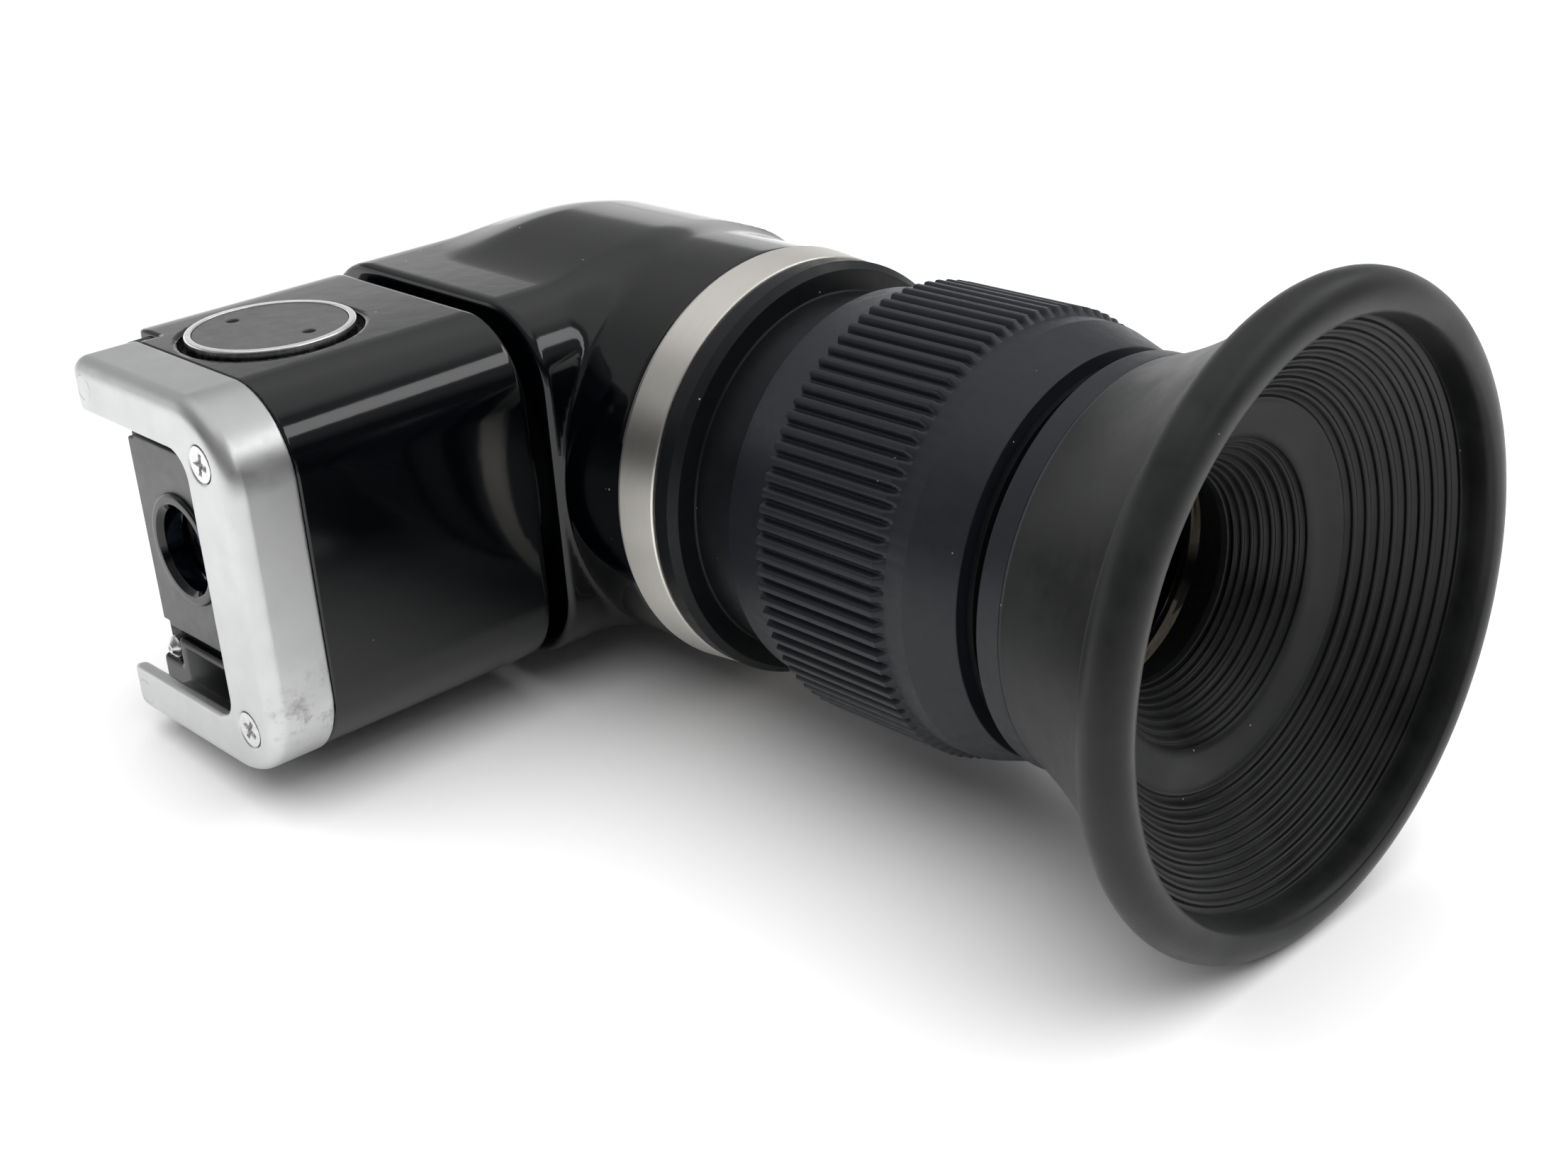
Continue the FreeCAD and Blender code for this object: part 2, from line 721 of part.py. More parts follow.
def make_click():
    """Ball and coil spring that hold the elbow at each quarter turn."""
    ball = primitive("Sphere", "click_ball", {"Radius": 0.75}, (click_x, 0, s.sleeve_radius + 0.45))
    ball.Label = "click_ball"
    upright = FreeCAD.Rotation()
    bottom = s.sleeve_radius + 1.35
    coil("click_spring", 0.12, 0.55, 0.42, 1.9, (click_x, 0, bottom), upright)


# ---------------------------------------------------------------- selector


def make_selector():
    """Drum with two crossed light paths, its disc above and its knob below."""
    top = s.drum_half
    journal_top = s.block_half - 0.9
    drum = along_selector(
        "selector_drum",
        [
            (0, -journal_top + 0.65),
            (s.pivot, -journal_top + 0.65),
            (s.pivot, -top),
            (s.drum_radius, -top),
            (s.drum_radius, top),
            (s.journal, top),
            (s.journal, journal_top),
            (0, journal_top),
        ],
    )
    path = s.light_path
    cut(drum, "YZ_Plane", -10, 20, circles, [(0, 0)], path)
    cut(drum, "XZ_Plane", -10, 20, circles, [(0, 0)], path)
    cut(drum, "XY_Plane", -s.block_half, 5, circles, [(0, 0)], 0.7)
    for name, side, bulge in (("drum_lens_front", -1, 9), ("drum_lens_rear", 1, 30)):
        lens = new_body(name)
        bind(lens, "Placement.Base.x", s.selector_x)
        near, far = (3.4, 4.6)
        rim = path - 0.03
        profile = [
            (0, side * near),
            (POLE, side * near, -side * bulge),
            (rim, side * (near + 0.2)),
            (rim, side * far),
            (0, side * far),
        ]
        revolve(lens, "Revolution", "XY_Plane", "V_Axis", profile)
    bush_top = s.block_half - 1.0
    along_selector(
        "selector_bush_top",
        [
            (s.journal + s.running, top + 0.4),
            (s.selector_recess + 0.7, top + 0.4),
            (s.selector_recess + 0.7, block_inside - 0.02),
            (s.selector_recess - 0.03, block_inside - 0.02),
            (s.selector_recess - 0.03, bush_top),
            (s.journal + s.running, bush_top),
        ],
    )
    along_selector(
        "selector_bush_bottom",
        tube(s.pivot + s.running, s.knob_radius + 1.2, -block_inside + 0.02, -top - 0.3),
    )
    disc_bottom = journal_top + 0.02
    cap = along_selector(
        "selector_cap",
        [
            (0, disc_bottom),
            (s.disc_face - 0.02, disc_bottom),
            (s.disc_face - 0.02, s.disc_top - 0.08),
            (0, s.disc_top - 0.08),
        ],
    )
    holes = [(-s.spanner_x, s.spanner_y), (s.spanner_x, -s.spanner_y)]
    cut(cap, "XY_Plane", s.disc_top - 0.9, 2, circles, holes, s.spanner_hole)
    along_selector(
        "selector_trim_ring",
        [
            (s.disc_face, disc_bottom + 0.05),
            (s.disc_radius, disc_bottom + 0.05),
            (s.disc_radius, s.disc_top - 0.12),
            (s.disc_radius - 0.12, s.disc_top),
            (s.disc_face + 0.1, s.disc_top),
            (s.disc_face, s.disc_top - 0.1),
        ],
    )
    make_knob()


def make_knob():
    """Flush knob on the underside: a disc with a finger bar left between two hollows."""
    upper = -block_inside - 0.08
    lower = -s.block_half + 0.06
    knob = along_selector("selector_knob", tube(0, s.knob_radius, lower, upper))
    bar = 1.1
    ring = s.knob_radius - 0.7
    hollow_depth = 1.0
    for side in (1, -1):
        edge = (ring * ring - as_size(bar * bar)).value ** 0.5
        points = [(bar * side, -edge, -ring * side), (bar * side, edge)]
        sketch = sketch_on(knob, "XY_Plane", lower - 1)
        outline(sketch, points)
        feature(knob, "Pocket", sketch, Length=as_size(hollow_depth + 1), Reversed=True)
    cut(knob, "XY_Plane", lower - 1, 1.6, circles, [(0, 0)], 1.0)
    cut(knob, "XY_Plane", lower - 1, 5, circles, [(0, 0)], 0.72)
    head = lower + 0.1
    screw = along_selector(
        "knob_screw",
        [(0, head), (0.95, head), (0.95, lower + 0.58), (0.68, lower + 0.58), (0.68, -10), (0, -10)],
    )
    slot = [(-1, -0.12), (1, -0.12), (1, 0.12), (-1, 0.12)]
    cut(screw, "XY_Plane", head - 1, 1.25, outline, slot)


# ---------------------------------------------------------------- swivel


def make_swivel():
    """Sleeve that joins the elbow to the block, with its ring nut, washer and relay lens."""
    nut_back = block_rear_wall - 0.3
    nut_front = nut_back - 1.4
    elbow_wall = s.elbow_start + s.wall + 0.2
    track = s.sleeve_radius - 0.34
    sleeve = along_block(
        "swivel_sleeve",
        [
            (nut_front, s.sleeve_bore),
            (elbow_wall + 1, s.sleeve_bore),
            (elbow_wall + 1, s.sleeve_radius + 1.5),
            (elbow_wall, s.sleeve_radius + 1.5),
            (elbow_wall, s.sleeve_radius),
            (click_x + 0.85, s.sleeve_radius),
            (click_x + 0.85, track),
            (click_x - 0.85, track),
            (click_x - 0.85, s.sleeve_radius),
            (nut_front, s.sleeve_radius),
        ],
    )
    dimple = cut(sleeve, "XY_Plane", track - 0.25, 1, circles, [(click_x, 0)], 0.5)
    pattern(sleeve, dimple, "X_Axis", 4)
    return sleeve


def make_swivel_rings():
    nut_back = block_rear_wall - 0.3
    nut_front = nut_back - 1.4
    along_block(
        "swivel_nut",
        [
            (nut_front, s.sleeve_radius),
            (nut_back, s.sleeve_radius),
            (nut_back, s.sleeve_radius + 2),
            (nut_front, s.sleeve_radius + 2),
        ],
    )
    along_block(
        "swivel_washer",
        [
            (s.block_end + 0.06, s.sleeve_radius + 0.02),
            (s.elbow_start, s.sleeve_radius + 0.02),
            (s.elbow_start, s.sleeve_radius + 2.9),
            (s.block_end + 0.06, s.sleeve_radius + 2.9),
        ],
    )
    rim = s.sleeve_bore - 0.02
    along_block(
        "relay_lens",
        [
            (22.2, 0),
            (22.2, POLE, 20),
            (23.4, rim - 0.6),
            (23.4, rim),
            (25.4, rim),
            (25.4, rim - 1, 40),
            (26.1, POLE),
            (26.1, 0),
        ],
    )
    along_block(
        "relay_lens_ring", [(25.42, rim - 0.8), (26.4, rim - 0.8), (26.4, rim), (25.42, rim)]
    )


# ---------------------------------------------------------------- elbow


def elbow_form(name, inset, start, end_reach):
    """The elbow's form moved in by inset: a square part with rounded edges and a round part."""
    piece = new_body(name)
    half = s.elbow_half - inset
    end = s.elbow_end - inset
    turn = s.elbow_turn - inset
    plan = [
        (start, -half),
        (end, -half),
        (end, half - turn, -turn),
        (end - turn, half),
        (start, half),
    ]
    pad(piece, "XY_Plane", -half, half * 2, plan)

    def along_edge(edge):
        level = lies_at(edge, "Z", half.value) or lies_at(edge, "Z", -half.value)
        return level and not lies_at(edge, "X", start.value)

    dress(piece, "Fillet", s.elbow_corner - inset, along_edge)
    dome = s.tube_dome - inset
    back = s.tube_back - inset
    radius = s.tube_radius - inset
    round_form = new_body(name + "_round")
    bind(round_form, "Placement.Base.x", s.elbow_x)
    profile = [
        (0, back),
        (0, -end_reach),
        (radius, -end_reach),
        (radius, back - dome, -dome),
        (radius - dome, back),
    ]
    revolve(round_form, "Revolution", "XY_Plane", "V_Axis", profile)
    return boolean("MultiFuse", name + "_both", piece, [round_form])


def make_elbow_housing():
    """Hollow elbow: the outer form less the inner form, the swivel bore and nothing else."""
    outer = elbow_form("elbow_outer", as_size(0), s.elbow_start, s.tube_end)
    inner = elbow_form("elbow_inner", s.wall, s.elbow_start + s.wall + 0.2, s.tube_end + 1)
    shell = boolean("Cut", "elbow_shell", outer, inner)
    bore = primitive(
        "Cylinder",
        "swivel_bore",
        {"Radius": s.sleeve_radius, "Height": 4},
        (s.elbow_start - 1, 0, 0),
    )
    bore.Placement.Rotation = FreeCAD.Rotation(FreeCAD.Vector(0, 1, 0), 90)
    return boolean("Cut", "elbow_housing", shell, bore)


PRISM_LEG = 9.0


def make_prism():
    """Right-angle prism that turns the light from the block's axis to the eyepiece's."""
    prism = new_body("prism")
    leg = PRISM_LEG
    middle = s.elbow_x
    triangle = [(middle - leg, -leg), (middle + leg, -leg), (middle - leg, leg)]
    pad(prism, "XY_Plane", -leg, leg * 2, triangle)
    dress(
        prism,
        "Chamfer",
        as_size(0.4),
        lambda edge: spans(edge, "Z")[1] - spans(edge, "Z")[0] > leg,
    )
    return prism


def make_prism_holder():
    """Cradle under and behind the prism."""
    holder = new_body("prism_holder")
    leg = PRISM_LEG
    floor_top = -leg - 0.02
    floor_low = floor_top - 1.6
    middle = s.elbow_x
    base = [
        (middle - leg - 1.2, -leg + 0.5),
        (middle + leg + 0.6, -leg + 0.5),
        (middle + leg + 0.6, -leg + 4.5),
        (middle - leg + 4.5, leg + 1.2),
        (middle - leg - 1.2, leg + 1.2),
    ]
    pad(holder, "XY_Plane", floor_low, 1.6, base)
    gap = 0.05
    wall = 1.2
    back = [
        (middle - leg + 1 + gap, leg - 1 + gap),
        (middle + leg - 1 + gap, -leg + 1 + gap),
        (middle + leg - 1 + wall, -leg + 1 + wall),
        (middle - leg + 1 + wall, leg - 1 + wall),
    ]
    pad(holder, "XY_Plane", floor_top - 0.1, 2 * leg + 0.1, back)
    return holder


def make_prism_clip():
    """Spring strap over the prism, hooked on the cradle's back wall."""
    clip = new_body("prism_clip")
    leg = PRISM_LEG
    middle = s.elbow_x
    strap = [
        (middle - leg + 0.8, -leg + 3),
        (middle - leg + 3.8, -leg + 0.8),
        (middle + 2.9, 1.1),
        (middle + 1.1, 2.9),
    ]
    pad(clip, "XY_Plane", as_size(leg + 0.02), 0.5, strap)
    return clip


def make_prism_screws():
    """Two screws from the cradle into the elbow's floor, one group of separate solids."""
    leg = PRISM_LEG
    places = [(s.elbow_x - leg + 1.4, leg - 4.6), (s.elbow_x + 2.2, -leg + 4.2)]
    top = -leg - 1.62
    solids = []
    for index, (along, side) in enumerate(places):
        name = "prism_screw_%d" % index
        solids.append(
            primitive("Cylinder", name, {"Radius": 0.8, "Height": 1.9}, (along, side, as_size(top - 1.9)))
        )
    group = doc.addObject("Part::Compound", "prism_screws")
    group.Label = "prism_screws"
    group.Links = solids
    return group


# ---------------------------------------------------------------- eyepiece tube on the elbow


def make_trim_ring():
    inner = s.spigot + 0.02
    along_eyepiece(
        "trim_ring",
        [
            (inner, s.tube_end),
            (s.trim_radius - s.trim_bevel * 0.5, s.tube_end),
            (s.trim_radius, s.tube_end + s.trim_bevel),
            (s.trim_front, s.trim_end),
            (inner, s.trim_end),
        ],
    )


def make_helicoid_tube():
    """Gloss flange and neck in one turned piece, screwed into the elbow's mouth."""
    piece = along_eyepiece(
        "helicoid_tube",
        [
            (s.neck_bore, s.tube_end - 4.5),
            (s.spigot, s.tube_end - 4.5),
            (s.spigot, s.trim_end),
            (s.flange_radius - 0.2, s.trim_end),
            (s.flange_radius, s.trim_end + 0.3),
            (s.flange_radius, s.flange_end - 0.55),
            (s.flange_radius - 0.5, s.flange_end),
            (s.neck, s.flange_end),
            (s.neck, s.neck_end),
            (s.neck_bore, s.neck_end),
        ],
    )
    key_y = -38
    cut(piece, "XY_Plane", -16, 5, circles, [(0, key_y)], 0.9)
    return piece


def make_guide_key():
    """Pin through the neck into the barrel's slot, so that the barrel slides and doesn't turn."""
    key = primitive(
        "Cylinder",
        "guide_key",
        {"Radius": 0.88, "Height": 2.3},
        (s.elbow_x, -38, -s.neck + 0.1),
    )
    key.Label = "guide_key"
    return key


# ---------------------------------------------------------------- focusing ring


def make_diopter_ring():
    """Knurled ring: a turned blank with straight teeth cut round it."""
    bore = s.neck + s.running
    front_bore = s.barrel_front + s.running
    piece = along_eyepiece(
        "diopter_ring",
        [
            (bore, s.ring_start),
            (s.ring_edge - 0.2, s.ring_start),
            (s.ring_edge, s.ring_start + 0.2),
            (s.root_radius, s.knurl_start),
            (s.knurl_radius, s.knurl_start + 0.1),
            (s.knurl_radius, s.knurl_end),
            (s.root_radius, s.knurl_end + 0.1),
            (s.taper_radius, s.taper_start),
            (s.ring_front, s.ring_end),
            (front_bore, s.ring_end),
            (front_bore, s.ring_shoulder),
            (bore, s.ring_shoulder),
        ],
    )
    width = s.knurl_radius * (math.pi / TEETH * 0.62)
    past = s.knurl_radius + 0.4
    groove = [(-width, past), (-width, s.knurl_radius), (0, s.root_radius),
              (width, s.knurl_radius), (width, past)]
    start = s.knurl_start - 0.5
    sketch = sketch_on(piece, "XZ_Plane", start)
    outline(sketch, groove)
    tooth = feature(
        piece, "Pocket", sketch, Length=s.knurl_end - s.knurl_start + 1.2, Reversed=True
    )
    pattern(piece, tooth, "Y_Axis", TEETH)
    return piece


# ---------------------------------------------------------------- sliding eyepiece


def make_eyepiece_barrel():
    """Stepped tube that carries the lenses, slides in the neck and holds the eyecup."""
    inner = s.neck_bore - s.running
    piece = along_eyepiece(
        "eyepiece_barrel",
        [
            (s.barrel_bore, s.barrel_back),
            (inner, s.barrel_back),
            (inner, s.ring_shoulder - 0.6),
            (s.barrel_front, s.ring_shoulder - 0.6),
            (s.barrel_front, s.barrel_end),
            (s.barrel_bore, s.barrel_end),
        ],
    )
    slot = [(-0.95, -42.5), (0.95, -42.5), (0.95, -34.2), (-0.95, -34.2)]
    cut(piece, "XY_Plane", -14, 3.3, outline, slot)
    return piece


def make_retaining_rings():
    """Two spring rings that hold the focusing ring endways on the barrel."""
    solids = []
    for index, (start, inner) in enumerate(((-0.55, 0.01), (0.05, 0.01))):
        edge = s.ring_shoulder if index == 0 else s.ring_end
        name = "retaining_ring_%d" % index
        ring = along_eyepiece(name, tube(s.barrel_front + inner, 13.3, edge + start, edge + start + 0.5))
        solids.append(ring)
    group = doc.addObject("Part::Compound", "retaining_rings")
    group.Label = "retaining_rings"
    group.Links = solids
    return group


def make_lens(label, start, end, front_bulge, back_bulge, rim):
    """A lens on the eyepiece's axis; a bulge is the radius of that face."""
    rise = 0.7
    along_eyepiece(
        label,
        [
            (0, start),
            (POLE, start, front_bulge),
            (rim - 0.3, start + rise),
            (rim, start + rise),
            (rim, end - rise),
            (rim - 0.3, end - rise, back_bulge),
            (POLE, end),
            (0, end),
        ],
    )


def make_eyepiece_optics():
    rim = s.barrel_bore - 0.02
    make_lens("field_lens", 33.6, 37.0, 60, 40, rim)
    along_eyepiece("field_lens_ring", tube(rim - 1.0, rim, 36.5, 37.6))
    make_lens("eye_lens_rear", 43.6, 48.0, 60, 40, rim)
    along_eyepiece("lens_spacer", tube(rim - 0.9, rim, 47.4, 50.3))
    make_lens("eye_lens_front", 49.8, 54.2, 40, 70, rim)
    along_eyepiece(
        "lens_retainer",
        [(rim - 1.0, 53.6), (rim, 53.6), (rim, 56.75), (s.eye_opening, 56.75), (s.eye_opening, 56.2)],
    )


def make_eyecup():
    along_eyepiece(
        "eyecup_collar",
        [
            (s.barrel_front + 0.01, s.collar_start),
            (s.collar_radius - 0.2, s.collar_start),
            (s.collar_radius, s.collar_start + 0.2),
            (s.collar_radius, s.collar_end),
            (s.barrel_front + 0.01, s.collar_end),
        ],
    )
    bead = s.rim_bead
    along_eyepiece(
        "eyecup",
        [
            (s.barrel_front + 0.02, s.collar_end + 0.02),
            (s.collar_radius, s.collar_end + 0.02, 60),
            (s.rim_radius - bead, s.rim_reach - bead * 1.3),
            (s.rim_radius - bead * 0.6, s.rim_reach - bead * 0.8, -bead),
            (s.rim_radius, s.rim_reach, -bead),
            (s.rim_radius - bead, s.rim_reach + bead, -bead * 1.1),
            (s.lip_radius, s.lip_reach + 0.6),
            (s.lip_radius, s.lip_reach),
            (s.bell_radius, s.bell_start),
            (s.tunnel_radius, s.tunnel_end),
            (s.eye_opening + 0.3, s.barrel_end + 0.1),
            (s.barrel_front + 0.02, s.barrel_end + 0.1),
        ],
    )


# ---------------------------------------------------------------- build, check and write

NODES = [
    "shoe_bracket", "bracket_screws", "front_plate", "plate_screw", "mount_block", "rail_stop",
    "objective_bezel", "objective_lens", "block_housing", "selector_bush_top", "selector_bush_bottom",
    "swivel_bush", "click_ball", "click_spring", "latch_pin", "latch_spring", "selector_drum",
    "drum_lens_front", "drum_lens_rear", "selector_cap", "selector_trim_ring", "selector_knob",
    "knob_screw", "swivel_sleeve", "swivel_nut", "swivel_washer", "relay_lens", "relay_lens_ring",
    "elbow_housing", "prism", "prism_holder", "prism_clip", "prism_screws", "trim_ring",
    "helicoid_tube", "guide_key", "diopter_ring", "eyepiece_barrel", "retaining_rings", "field_lens",
    "field_lens_ring", "eye_lens_rear", "lens_spacer", "eye_lens_front", "lens_retainer",
    "eyecup_collar", "eyecup",
]

make_bracket()
make_bracket_screws()
make_front_plate()
make_plate_screw()
make_mount_block()
make_rail_stop()
make_latch_pin()
make_latch_spring()
make_objective()
make_block_housing()
make_swivel_bush()
make_click()
make_selector()
make_swivel()
make_swivel_rings()
make_elbow_housing()
make_prism()
make_prism_holder()
make_prism_clip()
make_prism_screws()
make_trim_ring()
make_helicoid_tube()
make_guide_key()
make_diopter_ring()
make_eyepiece_barrel()
make_retaining_rings()
make_eyepiece_optics()
make_eyecup()
doc.recompute()

failed = [o.Name for o in doc.Objects if "Invalid" in o.State or "Error" in o.State]
if failed:
    raise RuntimeError("failed objects: %s" % ", ".join(failed))
pieces = {o.Label: o for o in doc.Objects}
for name in NODES:
    shape = pieces[name].Shape
    if shape.isNull() or not shape.isValid() or shape.Volume <= 0:
        raise RuntimeError("bad shape: %s" % name)
os.makedirs("parts", exist_ok=True)
for name in NODES:
    pieces[name].Shape.exportStep("parts/%s.step" % name)
    print("%-22s %10.2f mm3  %d solids" % (name, pieces[name].Shape.Volume, len(pieces[name].Shape.Solids)))
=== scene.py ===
import json
import math

import bpy
import numpy as np
from mathutils import Matrix, Vector


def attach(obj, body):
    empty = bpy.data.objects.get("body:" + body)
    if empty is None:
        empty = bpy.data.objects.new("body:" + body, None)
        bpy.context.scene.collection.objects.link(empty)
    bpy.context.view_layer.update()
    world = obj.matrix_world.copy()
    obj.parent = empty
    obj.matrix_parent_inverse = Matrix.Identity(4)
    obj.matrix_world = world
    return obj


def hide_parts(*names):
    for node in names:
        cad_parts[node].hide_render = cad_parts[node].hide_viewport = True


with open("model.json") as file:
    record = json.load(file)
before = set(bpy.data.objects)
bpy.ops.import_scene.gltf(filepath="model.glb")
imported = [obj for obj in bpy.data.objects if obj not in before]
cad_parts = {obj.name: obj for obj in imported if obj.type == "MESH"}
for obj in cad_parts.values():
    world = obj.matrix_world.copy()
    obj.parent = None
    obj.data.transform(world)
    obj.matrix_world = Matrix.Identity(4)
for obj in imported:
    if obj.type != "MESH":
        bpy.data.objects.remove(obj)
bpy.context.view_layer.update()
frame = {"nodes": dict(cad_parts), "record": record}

# Every length below is in millimetres unless its name says otherwise; MM turns it into metres.
# The part's frame: +X along the block into the elbow, -Y along the eyepiece towards the eye, and +Z
# on the side of the disc.
# Along the eyepiece, "reach" is the distance from the block's axis towards the eye, so y = -reach.

MM = 0.001

EYE_X = 42.16
SELECTOR_X = 12.44


# ------------------------------------------------------------------ distance fields


def smooth_max(a, b, k):
    h = np.maximum(k - np.abs(a - b), 0.0) / k
    return np.maximum(a, b) + h * h * k * 0.25


def smooth_min(a, b, k):
    return -smooth_max(-a, -b, k)


def smoothstep(low, high, value):
    t = np.clip((value - low) / (high - low), 0.0, 1.0)
    return t * t * (3.0 - 2.0 * t)


def box2(a, b, half_a, half_b, radius):
    """Rounded rectangle, centred."""
    qa = np.abs(a) - half_a + radius
    qb = np.abs(b) - half_b + radius
    outside = np.hypot(np.maximum(qa, 0.0), np.maximum(qb, 0.0))
    return outside + np.minimum(np.maximum(qa, qb), 0.0) - radius


def span_box2(a, b, low_a, high_a, low_b, high_b, radius):
    mid_a, mid_b = (low_a + high_a) / 2, (low_b + high_b) / 2
    return box2(a - mid_a, b - mid_b, (high_a - low_a) / 2, (high_b - low_b) / 2, radius)


def rounded_end(side, end, radius):
    """Meets a side wall and an end face with a round of this radius."""
    qa = side + radius
    qb = end + radius
    outside = np.hypot(np.maximum(qa, 0.0), np.maximum(qb, 0.0))
    return outside + np.minimum(np.maximum(qa, qb), 0.0) - radius


def slab(value, low, high):
    return np.maximum(low - value, value - high)


CORNERS = [(i, j, k) for i in (0, 1) for j in (0, 1) for k in (0, 1)]
CELL_EDGES = [(a, b) for a in range(8) for b in range(a + 1, 8) if bin(a ^ b).count("1") == 1]


def gradient(field, points, eps=0.004):
    out = np.empty_like(points)
    for axis in range(3):
        shift = np.zeros(3)
        shift[axis] = eps
        ahead, behind = points + shift, points - shift
        out[:, axis] = (field(*ahead.T) - field(*behind.T)) / (2 * eps)
    return out


def net_quads(inside, number):
    """Joins the cells round every grid edge that crosses the surface."""
    quads = []
    for axis in range(3):
        swap = [axis, (axis + 1) % 3, (axis + 2) % 3]
        solid = inside.transpose(swap)
        index = number.transpose(swap)
        here, ahead = solid[:-1, 1:-1, 1:-1], solid[1:, 1:-1, 1:-1]
        i, j, k = np.nonzero(here != ahead)
        ring = np.stack(
            [index[i, j, k], index[i, j + 1, k], index[i, j + 1, k + 1], index[i, j, k + 1]], axis=1
        )
        away = here[i, j, k]
        ring[~away] = ring[~away][:, ::-1]
        quads.append(ring)
    return np.concatenate(quads)


def field_mesh(name, field, low, high, step):
    """Meshes the zero surface of a distance field, with the field's own gradient as its normals."""
    start = np.array(low, float) - 1.7 * step
    counts = np.ceil((np.array(high) + 1.7 * step - start) / step).astype(int) + 1
    axes = [start[a] + step * np.arange(counts[a]) for a in range(3)]
    grid = np.meshgrid(*axes, indexing="ij")
    values = field(*grid)
    inside = values < 0.0
    total = np.zeros(counts - 1, np.int8)
    for i, j, k in CORNERS:
        total += inside[i : i + counts[0] - 1, j : j + counts[1] - 1, k : k + counts[2] - 1]
    active = (total > 0) & (total < 8)
    cells = np.argwhere(active)
    number = np.full(active.shape, -1, np.int64)
    number[active] = np.arange(len(cells))
    held = [values[tuple((cells + c).T)] for c in CORNERS]
    place = np.zeros((len(cells), 3))
    crossings = np.zeros(len(cells))
    for a, b in CELL_EDGES:
        cross = (held[a] < 0) != (held[b] < 0)
        t = np.where(cross, held[a] / np.where(cross, held[a] - held[b], 1.0), 0.0)
        corner_a, corner_b = np.array(CORNERS[a]), np.array(CORNERS[b])
        place += cross[:, None] * (corner_a + t[:, None] * (corner_b - corner_a))
        crossings += cross
    points = start + step * (cells + place / crossings[:, None])
    for _ in range(4):
        slope = gradient(field, points)
        size = np.maximum((slope**2).sum(axis=1), 0.05)
        move = (field(*points.T) / size)[:, None] * slope
        points -= np.clip(move, -step / 2, step / 2)
    normals = gradient(field, points)
    normals /= np.linalg.norm(normals, axis=1, keepdims=True) + 1e-12
    return make_mesh(name, points, net_quads(inside, number), normals)


def make_mesh(name, points, quads, normals=None):
    mesh = bpy.data.meshes.new(name)
    mesh.from_pydata((np.asarray(points) * MM).tolist(), [], [list(map(int, q)) for q in quads])
    mesh.validate()
    mesh.polygons.foreach_set("use_smooth", [True] * len(mesh.polygons))
    if normals is not None:
        mesh.normals_split_custom_set_from_vertices(np.asarray(normals).tolist())
    mesh.update()
    made = bpy.data.objects.new(name, mesh)
    bpy.context.scene.collection.objects.link(made)
    return made


# ------------------------------------------------------------------ turned pieces


def round_corners(points, steps=5):
    """A closed outline of (radius, along, rounding), with its corners turned into arcs."""
    out = []
    count = len(points)
    for i, (r, a, rounding) in enumerate(points):
        here = np.array([r, a], float)
        before = np.array(points[i - 1][:2], float) - here
        after = np.array(points[(i + 1) % count][:2], float) - here
        if rounding <= 0:
            out.append(here)
            continue
        before /= np.linalg.norm(before)
        after /= np.linalg.norm(after)
        half = math.acos(float(np.clip(before @ after, -1, 1))) / 2
        reach = rounding / math.tan(half)
        bisector = (before + after) / np.linalg.norm(before + after)
        middle = here + bisector * rounding / math.sin(half)
        first, last = here + before * reach - middle, here + after * reach - middle
        sweep = math.pi - 2 * half
        side = np.sign(first[0] * last[1] - first[1] * last[0])
        for n in range(steps + 1):
            angle = side * sweep * n / steps
            c, s = math.cos(angle), math.sin(angle)
            spoke = [c * first[0] - s * first[1], s * first[0] + c * first[1]]
            out.append(middle + np.array(spoke))
    return np.array(out)


def on_eyepiece(r, angle, reach):
    return np.stack([EYE_X + r * np.cos(angle), -reach, r * np.sin(angle)], axis=-1)


def on_block(r, angle, along):
    return np.stack([along, r * np.cos(angle), r * np.sin(angle)], axis=-1)


def on_selector(r, angle, height):
    return np.stack([SELECTOR_X + r * np.cos(angle), r * np.sin(angle), height], axis=-1)


def area_normals(points, quads):
    """Vertex normals weighted by area, so that flats stay flat beside small rounds."""
    corner = points[quads]
    cross = np.cross(corner[:, 2] - corner[:, 0], corner[:, 3] - corner[:, 1])
    out = np.zeros_like(points)
    for c in range(4):
        np.add.at(out, quads[:, c], cross)
    return out / (np.linalg.norm(out, axis=1, keepdims=True) + 1e-15)


def turned(name, outline, place, segments=256, shape=None):
    """Turns a closed outline about an axis. shape(radius, along, angle) may move the radius."""
    outline = np.asarray(outline, float)
    count = len(outline)
    angle = np.arange(segments) * 2 * np.pi / segments
    r = np.repeat(outline[:, 0], segments).reshape(count, segments)
    along = np.repeat(outline[:, 1], segments).reshape(count, segments)
    turn = np.tile(angle, (count, 1))
    if shape is not None:
        r = shape(r, along, turn)
    points = place(r, turn, along).reshape(-1, 3)
    i, j = np.meshgrid(np.arange(count), np.arange(segments), indexing="ij")
    i2, j2 = (i + 1) % count, (j + 1) % segments
    quads = np.stack(
        [i * segments + j, i2 * segments + j, i2 * segments + j2, i * segments + j2], axis=-1
    ).reshape(-1, 4)
    normals = area_normals(points, quads)
    middle = points.mean(axis=0)
    volume = np.einsum("ij,ij->i", points[quads[:, 0]] - middle,
                       np.cross(points[quads[:, 1]] - middle, points[quads[:, 2]] - middle)).sum()
    if volume < 0:
        quads = quads[:, ::-1]
        normals = -normals
    return make_mesh(name, points, quads, normals)


def join(name, pieces):
    bpy.ops.object.select_all(action="DESELECT")
    for piece in pieces:
        piece.select_set(True)
    bpy.context.view_layer.objects.active = pieces[0]
    bpy.ops.object.join()
    pieces[0].name = name
    return pieces[0]


# ------------------------------------------------------------------ materials


